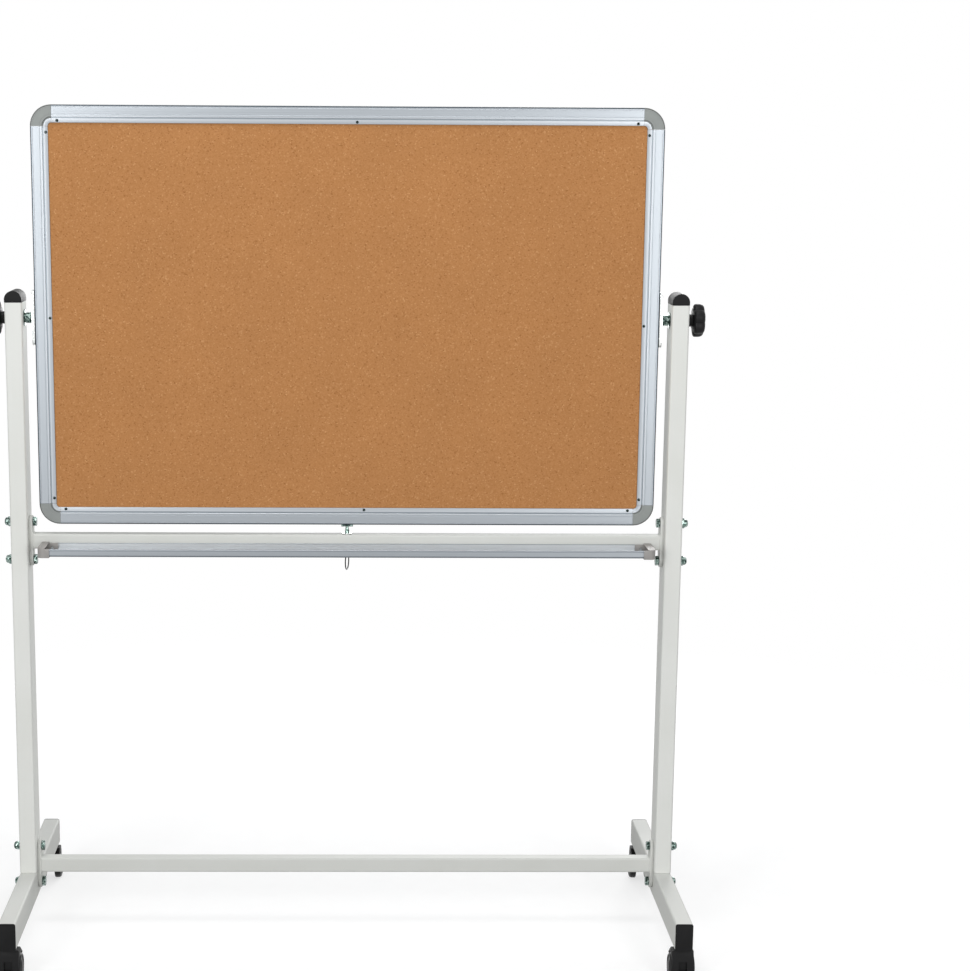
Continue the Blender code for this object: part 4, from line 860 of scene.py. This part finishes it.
black_pp = moulded("grained_black_polypropylene", "black_plastic", "0B0B0C", "131314", 0.62, 0.48, 0.18)
for side in ("left", "right"):
    low, high, centre = middle(side + "_post_cap")
    post_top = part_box(side + "_post")[1][2]
    width, depth = high.x - low.x, high.y - low.y
    arch = arc(width / 2, 0, 2 * QUARTER, 28, (0, CAP_BASE)) + [(-width / 2, 0), (width / 2, 0)]
    place = axes(*FRONT_TO_BACK, (centre.x, centre.y, post_top + GAP))
    bm = extrude([arch], -depth / 2, depth / 2, place, CAP_RIM, segments=3)
    spigot = [rounded(width - SPIGOT_INSET, depth - SPIGOT_INSET, TUBE_R - TUBE_WALL)]
    place = Matrix.Translation((centre.x, centre.y, 0))
    bm = boolean(bm, extrude(spigot, low.z, post_top + CAP_RIM * 2, place), "UNION")
    solid(side + "_arched_cap", bm, black_pp, "stand", side + "_post_cap")
    for end, sy in (("front", -1), ("rear", 1)):
        node = "%s_%s_foot_plug" % (side, end)
        low, high, centre = middle(node)
        width, height = high.x - low.x, high.z - low.z
        place = axes((-sy, 0, 0), (0, 0, 1), (0, -sy, 0),
                     (centre.x, low.y if sy < 0 else high.y, centre.z))
        bm = extrude([rounded(width, height, TUBE_R)], PLUG_STEP, PLUG_T, place, PLUG_STEP)
        panel = [rounded(width - 2 * PLUG_PANEL, height - 2 * PLUG_PANEL, TUBE_R / 2)]
        bm = boolean(bm, extrude(panel, 0, PLUG_T / 2, place, PLUG_STEP / 2), "UNION")
        spigot = [rounded(width - SPIGOT_INSET, height - SPIGOT_INSET, TUBE_R - TUBE_WALL)]
        bm = boolean(bm, extrude(spigot, PLUG_T / 2, PLUG_SPIGOT, place), "UNION")
        solid("%s_%s_square_plug" % (side, end), bm, black_pp, "stand", node)

# Pen tray
# Aluminium extrusion along the front of the upper crossbar: a ledge screwed up under the bar, a
# ribbed trough and a beaded lip. Grey moulded caps close both ends and wrap the lip.
TRAY_FRONT = 57.0 * MM
TRAY_LEDGE = 16.5 * MM
TRAY_T = 1.4 * MM
TRAY_BACK_H = 9.6 * MM
TRAY_LIP_H = 10.0 * MM
TRAY_BEAD = 2.6 * MM
TRAY_PROUD = 0.4 * MM
TRAY_RIB_H = 0.8 * MM
TRAY_RIBS = (0.62, 0.32)
TRAY_NOTCH_R = 8.5 * MM
TRAY_SCREWS = (-0.359, -0.120, 0.120, 0.359)
TRAY_HEAD_R = 3.4 * MM
TRAY_HEAD_T = 1.8 * MM
CAP_BLOCK = 11.0 * MM
CAP_SKIN = 1.2 * MM
CAP_EDGE_R = 0.8 * MM
CAP_BACK_T = 2.6 * MM
CAP_WALL = 1.7 * MM
CAP_POCKET = 6.0 * MM
CAP_FRONT_WRAP = 6.5 * MM
CAP_BACK_WRAP = 13.0 * MM
CAP_FRONT_R = 8.0 * MM
CAP_NOTCH = ((-1.6 * MM, 0), (-4.4 * MM, 6.2 * MM), (-7.2 * MM, 0))


def tray_section():
    """Distance out from the bar's front, height above the bar's underside, and tone."""
    under, floor, lip_top = -GAP - TRAY_T, -GAP, TRAY_LIP_H - GAP
    bead, lip_in, back_in = TRAY_BEAD / 2, TRAY_FRONT - TRAY_T, GAP + TRAY_T
    # The tones paint light and shade: dark lines along the back wall's top edge, under the bead and at the
    # lip's lower edge, a darker front face, and a lighter trough and back wall
    section = [(-TRAY_LEDGE, under, 0.5), (lip_in, under, 0.3),
               (TRAY_FRONT - TRAY_T / 3, under + TRAY_T / 3, 0.1), (TRAY_FRONT, under + TRAY_T, 0.1),
               (TRAY_FRONT, under + 2 * TRAY_T, 0.5), (TRAY_FRONT, lip_top - TRAY_BEAD - 3 * EDGE, 0.5),
               (TRAY_FRONT, lip_top - TRAY_BEAD, 0.3)]
    section += [(a, b, 0.42) for a, b in arc(bead, -QUARTER / 2, 5 * QUARTER / 2, 12,
                                            (TRAY_FRONT + TRAY_PROUD - bead, lip_top - bead))]
    section += [(lip_in, lip_top - TRAY_BEAD, 0.8), (lip_in, floor + TRAY_T / 2, 0.8),
                (lip_in - TRAY_T / 2, floor, 0.8)]
    for share in TRAY_RIBS:
        at = TRAY_FRONT * share
        section += [(at + TRAY_RIB_H, floor, 0.8), (at, floor + TRAY_RIB_H, 0.95),
                    (at - TRAY_RIB_H, floor, 0.8)]
    top = floor + TRAY_BACK_H
    return section + [(back_in + EDGE, floor, 0.8), (back_in, top - TRAY_T, 1.0),
                      (back_in, top - EDGE, 0.4), (back_in - EDGE, top, 0.3), (GAP + EDGE, top, 0.3),
                      (GAP, top - EDGE, 0.5), (GAP, floor, 0.5), (-TRAY_LEDGE, floor, 0.5)]


# The tray's ramp runs from painted light in the trough to painted shade on its dark lines
tray_aluminium = anodised("anodised_aluminium_tray", 0, (0.0, "DCDFE1"), (0.2, "C4C8CB"), (0.5, "979CA1"),
                          (0.75, "7F868C"), (1.0, "3A4046"))
warm_abs = moulded("grained_warm_grey_abs", "grey_plastic", "8F8C89", "989592", 0.52, 0.42)
bar_under = middle("upper_crossbar")[2].z - BAR / 2
tray_origin = Vector((0, -BAR / 2, bar_under))
low, high, centre = middle("pen_tray")
loop, tones = split(tray_section())
place = axes((0, -1, 0), (0, 0, 1), (1, 0, 0), tray_origin)
bm = extrude([loop], low.x, high.x, place, tones=[tones])
notch_profile = [(0, -4 * TRAY_T), (TRAY_NOTCH_R, -4 * TRAY_T), (TRAY_NOTCH_R, TRAY_T), (0, TRAY_T)]
notch = lathe(notch_profile, 48, Matrix.Translation((0, 0, bar_under)))
solid("tray_extrusion", boolean(bm, notch), tray_aluminium, "stand", "pen_tray")
places = [((x, 0, bar_under - GAP - TRAY_T), (0, 0, -1)) for x in TRAY_SCREWS]
fasteners("tray_screws", pan_head, places, TRAY_HEAD_R, TRAY_HEAD_T, "stand", 23)

for side, sign in (("left", -1), ("right", 1)):
    low, high, centre = middle(side + "_tray_cap")
    end = max(abs(low.x), abs(high.x))
    inner = end - CAP_BLOCK
    front = TRAY_FRONT + TRAY_PROUD + GAP + CAP_SKIN
    bottom, top = low.z - bar_under, high.z - bar_under
    place = axes((sign, 0, 0), (0, 1, 0), (0, 0, 1), tray_origin)
    plan = [(inner, -front), (inner, -GAP), (end - CAP_SKIN, -GAP), (end, -GAP - CAP_SKIN)]
    plan += arc(CAP_FRONT_R, 0, -QUARTER, 10, (end - CAP_FRONT_R, -front + CAP_FRONT_R))
    bm = extrude([plan], bottom, top, place, CAP_EDGE_R)
    wrap_in = inner - CAP_FRONT_WRAP
    skin = [(wrap_in, -front), (inner + CAP_SKIN, -front), (inner + CAP_SKIN, -front + CAP_SKIN),
            (wrap_in, -front + CAP_SKIN)]
    bm = boolean(bm, extrude([skin], bottom + CAP_EDGE_R, top - CAP_EDGE_R, place, EDGE), "UNION")
    floor_skin = [(wrap_in, -front + EDGE), (inner + CAP_SKIN, -front + EDGE),
                  (inner + CAP_SKIN, -CAP_SKIN), (wrap_in, -CAP_SKIN)]
    bm = boolean(bm, extrude([floor_skin], bottom, bottom + CAP_SKIN, place, EDGE), "UNION")
    behind = 2 * GAP + TRAY_T
    panel = [(inner + CAP_SKIN, 0)] + [(inner + a, b) for a, b in CAP_NOTCH]
    panel += [(inner - CAP_BACK_WRAP, 0), (inner - CAP_BACK_WRAP, TRAY_BACK_H),
              (inner + CAP_SKIN, TRAY_BACK_H)]
    upright = place @ axes((1, 0, 0), (0, 0, 1), (0, -1, 0))
    bm = boolean(bm, extrude([panel], behind, behind + CAP_BACK_T, upright, EDGE), "UNION")
    pocket = [(inner - CAP_SKIN, -front + CAP_WALL), (inner + CAP_POCKET, -front + CAP_WALL),
              (inner + CAP_POCKET, -behind - CAP_BACK_T), (inner - CAP_SKIN, -behind - CAP_BACK_T)]
    bm = boolean(bm, extrude([pocket], bottom + CAP_WALL, top - CAP_SKIN, place))
    solid(side + "_moulded_tray_cap", bm, warm_abs, "stand", side + "_tray_cap")

# Spring pin
# A tapered zinc-plated pin in a collared guide through the upper crossbar; its nose catches the
# strike plate under the board, and a wire ring in its eye pulls it down against the spring.
PIN_TIP_R = 2.1 * MM
PIN_R = 4.2 * MM
PIN_CONE = 12.5 * MM
PIN_BODY = 5.0 * MM
PIN_ROD_R = 3.0 * MM
EYE_DROP = 7.7 * MM
EYE_R = 1.6 * MM
GUIDE_R = 6.0 * MM
GUIDE_BORE_R = 4.6 * MM
GUIDE_ROD_BORE_R = 3.3 * MM
COLLAR_R = 7.5 * MM
COLLAR_T = 1.4 * MM
RING_R = 12.0 * MM
RING_WIRE_R = 0.9 * MM
SPRING_WIRE_R = 0.4 * MM
SPRING_R = 3.9 * MM
SPRING_TURNS = 4
SPRING_STEPS = 24
DRAWN_STREAK = 1.1 * MM
RING_TURN = math.radians(12)
STRIKE_HOLE_R = 3.5 * MM
STRIKE_SCREW_X = 6.2 * MM
STRIKE_HEAD_R = 1.95 * MM
STRIKE_HEAD_T = 1.1 * MM
STRIKE_R = 1.5 * MM

eye_z = bar_under - EYE_DROP
low, high, centre = middle("latch_guide")
guide = [(COLLAR_R - EDGE, high.z), (COLLAR_R, high.z - EDGE), (COLLAR_R, high.z - COLLAR_T),
         (GUIDE_R, high.z - COLLAR_T), (GUIDE_R, low.z + EDGE), (GUIDE_R - EDGE, low.z),
         (GUIDE_ROD_BORE_R, low.z), (GUIDE_ROD_BORE_R, low.z + COLLAR_T),
         (GUIDE_BORE_R, low.z + COLLAR_T), (GUIDE_BORE_R, high.z - EDGE), (GUIDE_BORE_R + EDGE, high.z)]
# The sleeve has the bright plate, and its pale collar is partly a painted highlight
solid("latch_guide_sleeve", lathe(guide, 48, ring=True), bright_zinc, "stand", "latch_guide")

low, high, centre = middle("latch_pin")
shoulder = high.z - PIN_CONE - PIN_BODY
profile = [(0, high.z), (PIN_TIP_R - 2 * EDGE, high.z), (PIN_TIP_R - EDGE / 2, high.z - EDGE),
           (PIN_TIP_R, high.z - 3 * EDGE), (PIN_R, high.z - PIN_CONE), (PIN_R, shoulder + EDGE),
           (PIN_R - EDGE, shoulder), (PIN_ROD_R, shoulder), (PIN_ROD_R, low.z + 2 * EDGE),
           (PIN_ROD_R - 2 * EDGE, low.z), (0, low.z)]
ring_axis = Vector((math.sin(RING_TURN), math.cos(RING_TURN), 0))
across = ring_axis.cross(Vector((0, 0, 1)))
through_eye = axes(-across, (0, 0, 1), ring_axis, (0, 0, eye_z))
eye = lathe([(0, -PIN_R), (EYE_R, -PIN_R), (EYE_R, PIN_R), (0, PIN_R)], 24, through_eye)
solid("latch_spring_pin", boolean(lathe(profile, 40), eye), zinc, "latch", "latch_pin")
wire = [(RING_R + a, b) for a, b in arc(RING_WIRE_R, 0, math.tau, 12)[:-1]]
hung = axes(ring_axis, (0, 0, 1), across, (0, 0, eye_z - RING_R))
solid("wire_pull_ring", lathe(wire, 72, hung, ring=True), black_wire, "ring", "pull_ring")

# Drawn steel: pulled bright through a die, with a fine satin streak
steel, tree, place = surface("drawn_spring_steel", "spring_steel")
streak = put(tree, "ShaderNodeTexNoise", {"Vector": place, "Scale": 1 / DRAWN_STREAK, "Detail": 2.0})
colour = put(tree, "ShaderNodeValToRGB", {"Fac": streak}, ((0.3, "8D9092"), (0.7, "B3B6B8")))
satin = put(tree, "ShaderNodeValToRGB", {"Fac": streak}, ((0.3, 0.22), (0.7, 0.34)))
score = put(tree, "ShaderNodeBump", {"Height": streak, "Distance": DIE_DEPTH, "Strength": 0.3})
shader = put(tree, "ShaderNodeBsdfPrincipled",
             {"Base Color": colour, "Metallic": 1.0, "Roughness": satin, "Normal": score})
put(tree, "ShaderNodeOutputMaterial", {"Surface": shader})

# Return spring inside the guide: round wire whose lower end stays on the guide's floor while the
# pin's shoulder presses it down
low, high, centre = middle("latch_spring")
coil_low, coil_high = low.z + SPRING_WIRE_R, high.z - SPRING_WIRE_R
coil = []
for i in range(SPRING_TURNS * SPRING_STEPS + 1):
    turn = math.tau * i / SPRING_STEPS
    rise = coil_low + (coil_high - coil_low) * i / (SPRING_TURNS * SPRING_STEPS)
    outward = Vector((math.cos(turn), math.sin(turn), 0))
    coil.append(axes(outward, (0, 0, 1), outward.cross(Vector((0, 0, 1))),
                     outward * SPRING_R + Vector((0, 0, rise))))
bm = sweep([polygon(SPRING_WIRE_R, 10)], coil)
spring = solid("coiled_return_spring", bm, steel, "stand", "latch_spring", sharp=50.0)
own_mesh(spring)

low, high, centre = middle("latch_strike")
plate = rounded(high.x - low.x, high.y - low.y, STRIKE_R)
bm = extrude([plate], low.z, high.z, rim=2 * EDGE)
hole = [(0, low.z - EDGE), (STRIKE_HOLE_R + 2 * EDGE, low.z - EDGE), (STRIKE_HOLE_R, low.z + 2 * EDGE),
        (STRIKE_HOLE_R, high.z + EDGE), (0, high.z + EDGE)]
solid("latch_strike_plate", boolean(bm, lathe(hole, 40)), zinc, "board", "latch_strike")
places = [((x, 0, low.z + STRIKE_HEAD_T - EDGE / 4), (0, 0, -1))
          for x in (-STRIKE_SCREW_X, STRIKE_SCREW_X)]
fasteners("strike_screws", flush_head, places, STRIKE_HEAD_R, STRIKE_HEAD_T, "board", 29)

for head in (pan_head, flush_head, hex_head, dome_cap):
    bpy.data.objects.remove(head, do_unlink=True)

# Casters
# Twin-wheel casters: a hooded nylon housing turns on a plated stem in the foot, and two hard
# nylon wheels with domed caps run on one axle. Axles and stems keep their CAD solids.
CASTER_INSET = 14.0 * MM
TRAIL = 10.0 * MM
WHEEL_R = 20.0 * MM
WHEEL_IN = 8.0 * MM
AXLE_BORE_R = 2.8 * MM
AXLE_END = 15.5 * MM
HOOD_R = 23.2 * MM
HOOD_T = 2.0 * MM
HOOD_W = 31.2 * MM
HOOD_RIM = 0.9 * MM
HOOD_START = math.radians(38)
HOOD_END = math.radians(214)
CROWN_HALF = 8.5 * MM
CROWN_REAR = math.radians(72)
CROWN_FRONT_SHARES = ((0.3, 0.12), (0.55, 0.32), (0.75, 0.53), (0.88, 0.71), (0.96, 0.86))
WEB_W = 14.4 * MM
WEB_HUB_R = 8.0 * MM
WEB_TUCK = math.radians(3)
WINDOW_W = 12.0 * MM
WINDOW_H = 14.0 * MM
WINDOW_DEPTH = 4.0 * MM
WINDOW_DROP = 1.0 * MM
STEM_BORE_R = 5.3 * MM
WHEEL_PROFILE = ((0, 19.0), (3.0, 18.95), (6.0, 18.75), (8.2, 18.3), (9.4, 17.7), (10.0, 17.0),
                 (10.6, 16.8), (15.6, 16.5), (16.1, 16.9), (16.3, 17.6), (16.8, 17.95), (17.6, 17.8),
                 (18.5, 17.2), (19.3, 16.2), (19.8, 14.9), (20.0, 13.4), (20.0, 9.2), (19.8, 8.5),
                 (19.2, 8.0))

hard_nylon = moulded("hard_black_nylon", "wheel_tread", "0A0A0B", "101011", 0.46, 0.32, 0.25)


def hood(place, crown, stem_low):
    """Side outline of the hood in the swivel's own axes, with the web that carries the axle."""
    inner, centre = HOOD_R - HOOD_T, (TRAIL, WHEEL_R)
    front = TRAIL - HOOD_R
    rise = [(-CROWN_HALF + (front + CROWN_HALF) * out, crown + (WHEEL_R - crown) * down)
            for out, down in CROWN_FRONT_SHARES]
    over = arc(HOOD_R, HOOD_START, CROWN_REAR, 10, centre) + [(CROWN_HALF, crown), (-CROWN_HALF, crown)]
    under = arc(inner, HOOD_END, HOOD_START, 36, centre)
    loop = over + rise + arc(HOOD_R, 2 * QUARTER, HOOD_END, 10, centre) + under
    sideways = place @ axes((0, 1, 0), (0, 0, 1), (1, 0, 0))
    bm = extrude([loop], -HOOD_W / 2, HOOD_W / 2, sideways, HOOD_RIM)
    mean = (HOOD_R + inner) / 2
    web = (arc(mean, HOOD_START + WEB_TUCK, HOOD_END - WEB_TUCK, 30, centre)
           + arc(WEB_HUB_R, HOOD_END - WEB_TUCK, HOOD_START + WEB_TUCK + 4 * QUARTER, 14, centre))
    bm = boolean(bm, extrude([web], -WEB_W / 2, WEB_W / 2, sideways), "UNION")
    window_top = WINDOW_H - WINDOW_DROP
    recess = [(-WINDOW_W / 2, -WINDOW_DROP), (WINDOW_W / 2, -WINDOW_DROP), (WINDOW_W / 2, window_top),
              (-WINDOW_W / 2, window_top)]
    inwards = place @ axes((1, 0, 0), (0, 0, 1), (0, -1, 0), (0, front, WHEEL_R))
    bm = boolean(bm, extrude([recess], -WINDOW_DEPTH, WINDOW_DEPTH, inwards))
    stem_bore = [(0, stem_low), (STEM_BORE_R, stem_low), (STEM_BORE_R, crown + HOOD_T),
                 (0, crown + HOOD_T)]
    return boolean(bm, lathe(stem_bore, 24, place))


for end, sy in (("front", -1), ("rear", 1)):
    for side, sx in (("left", -1), ("right", 1)):
        label = "caster_%s_%s" % (end, side)
        low, high, centre = middle(label + "_housing")
        foot_high, foot = middle(side + "_foot")[1:]
        trailing = Matrix.Rotation(0.0 if sy < 0 else math.pi, 4, "Z")
        swivel = Matrix.Translation((foot.x, sy * (foot_high.y - CASTER_INSET), 0)) @ trailing
        housing = hood(swivel, high.z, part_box(label + "_stem")[0][2] - GAP)
        solid(label + "_hooded_housing", housing, black_pp, label, label + "_housing", sharp=35.0)
        for wheel in ("_wheel_a", "_wheel_b"):
            wheel_at = middle(label + wheel)[2]
            outer = 1 if wheel_at.x > foot.x else -1
            profile = [(r * MM, x * MM) for r, x in WHEEL_PROFILE]
            profile += [(AXLE_BORE_R, WHEEL_IN), (AXLE_BORE_R, AXLE_END), (0, AXLE_END)]
            place = axes((0, 1, 0), (0, 0, outer), (outer, 0, 0), (foot.x, wheel_at.y, wheel_at.z))
            solid(label + wheel + "_turned", lathe(profile, 64, place), hard_nylon,
                  label + wheel, label + wheel, sharp=35.0)

# Axles and stems: the axles are bright drawn steel, the stems plated like the other fasteners
casters = ["caster_%s_%s" % (end, side) for end in ("front", "rear") for side in ("left", "right")]
dress(steel, *(label + "_axle" for label in casters))
dress(zinc, *(label + "_stem" for label in casters))

# Camera, light and floor
# The camera stands where the photograph's lines put it. Two tall soft lamps in front, one above
# and one behind light the object together with a pale room, and the floor keeps its shadow.
CAMERA_AT = (-0.0055, -3.2897, 1.1930)
CAMERA_PITCH = 0.2050
CAMERA_YAW = 0.0157
CAMERA_ROLL = 0.0057
CAMERA_FOCAL_PX = 2229.54
PHOTO_PX = 970
SENSOR = 36.0
SHIFT = (0.1108, 0.1220)
ROOM_LIGHT = 0.42
FLOOR_FADE = ((0.11, 1.0), (0.17, 0.0))
FLOOR_SIZE = 12.0
FLOOR_GLOW = 0.62
FLOOR_GRAIN = 33.0 * MM


def aimed_lamp(name, at, toward, size, energy):
    data = bpy.data.lights.new(name, "AREA")
    data.shape = "RECTANGLE"
    data.size, data.size_y = size
    data.energy = energy
    lamp = bpy.data.objects.new(name, data)
    lamp.location = at
    lamp.rotation_euler = (Vector(toward) - Vector(at)).to_track_quat("-Z", "Y").to_euler()
    bpy.context.scene.collection.objects.link(lamp)


ahead = Vector((math.sin(CAMERA_YAW) * math.cos(CAMERA_PITCH),
                math.cos(CAMERA_YAW) * math.cos(CAMERA_PITCH), -math.sin(CAMERA_PITCH)))
right = Vector((math.cos(CAMERA_YAW), -math.sin(CAMERA_YAW), 0))
down = ahead.cross(right)
right, down = (right * math.cos(CAMERA_ROLL) - down * math.sin(CAMERA_ROLL),
               right * math.sin(CAMERA_ROLL) + down * math.cos(CAMERA_ROLL))
camera_data = bpy.data.cameras.new("camera")
camera_data.sensor_fit = "HORIZONTAL"
camera_data.sensor_width = SENSOR
camera_data.lens = CAMERA_FOCAL_PX / PHOTO_PX * SENSOR
camera_data.shift_x, camera_data.shift_y = SHIFT
camera = bpy.data.objects.new("camera", camera_data)
camera.matrix_world = (Matrix.Translation(CAMERA_AT)
                       @ Matrix((right, -down, -ahead)).transposed().to_4x4())
bpy.context.scene.collection.objects.link(camera)
bpy.context.scene.camera = camera

aimed_lamp("left_softbox", (-1.6, -3.2, 1.5), (0, 0, 0.95), (0.7, 1.9), 43.5)
aimed_lamp("right_softbox", (1.5, -3.2, 1.25), (0, 0, 0.95), (0.7, 1.9), 32.0)
aimed_lamp("top_softbox", (-0.2, -0.7, 2.9), (0, 0, 0.9), (1.4, 0.9), 21.0)
aimed_lamp("rear_softbox", (0.8, 3.4, 1.5), (0, 0, 0.9), (1.8, 1.8), 66.0)


def seen_rays(tree):
    """1 for the rays that show the background: to the camera, off metal and through glass."""
    rays = put(tree, "ShaderNodeLightPath").outputs
    total = put(tree, "ShaderNodeMath", {0: rays["Is Camera Ray"], 1: rays["Is Glossy Ray"]},
                use_clamp=True)
    return put(tree, "ShaderNodeMath", {0: total, 1: rays["Is Transmission Ray"]}, use_clamp=True)


world = bpy.data.worlds.new("pale_room")
bpy.context.scene.world = world
world.use_nodes = True
tree = world.node_tree
tree.nodes.clear()
lit = put(tree, "ShaderNodeBackground", {"Color": srgb("F4F6F8"), "Strength": ROOM_LIGHT})
shown = put(tree, "ShaderNodeBackground", {"Color": (1, 1, 1, 1), "Strength": 1.0})
both = put(tree, "ShaderNodeMixShader", {0: seen_rays(tree), 1: lit, 2: shown})
put(tree, "ShaderNodeOutputWorld", {"Surface": both})

# Floor: matt pale card that fades into the room; it glows only towards the rays that see it
floor_mat = bpy.data.materials.new("white_studio_floor")
floor_mat.use_nodes = True
tree = floor_mat.node_tree
tree.nodes.clear()
spot = put(tree, "ShaderNodeTexCoord").outputs["Object"]
card = put(tree, "ShaderNodeTexNoise", {"Vector": spot, "Scale": 1 / FLOOR_GRAIN, "Detail": 2.0})
colour = put(tree, "ShaderNodeValToRGB", {"Fac": card}, ((0.3, "A6A6A6"), (0.7, "AAAAAA")))
glow = put(tree, "ShaderNodeMath", {0: seen_rays(tree), 1: FLOOR_GLOW}, operation="MULTIPLY")
away = put(tree, "ShaderNodeVectorMath", {0: spot}, operation="LENGTH").outputs["Value"]
share = put(tree, "ShaderNodeMath", {0: away, 1: FLOOR_SIZE}, operation="DIVIDE")
fade = put(tree, "ShaderNodeValToRGB", {"Fac": share}, FLOOR_FADE)
shader = put(tree, "ShaderNodeBsdfPrincipled", {
    "Base Color": colour, "Roughness": 0.9, "Alpha": fade, "Emission Color": (1, 1, 1, 1),
    "Emission Strength": glow})
put(tree, "ShaderNodeOutputMaterial", {"Surface": shader})
floor_mesh = bpy.data.meshes.new("floor")
corners = [(x * FLOOR_SIZE, y * FLOOR_SIZE, 0) for x, y in ((-1, -1), (1, -1), (1, 1), (-1, 1))]
floor_mesh.from_pydata(corners, [], [(0, 1, 2, 3)])
floor_mesh.materials.append(floor_mat)
floor = bpy.data.objects.new("floor", floor_mesh)
bpy.context.scene.collection.objects.link(floor)
bpy.context.scene.view_settings.view_transform = "Standard"
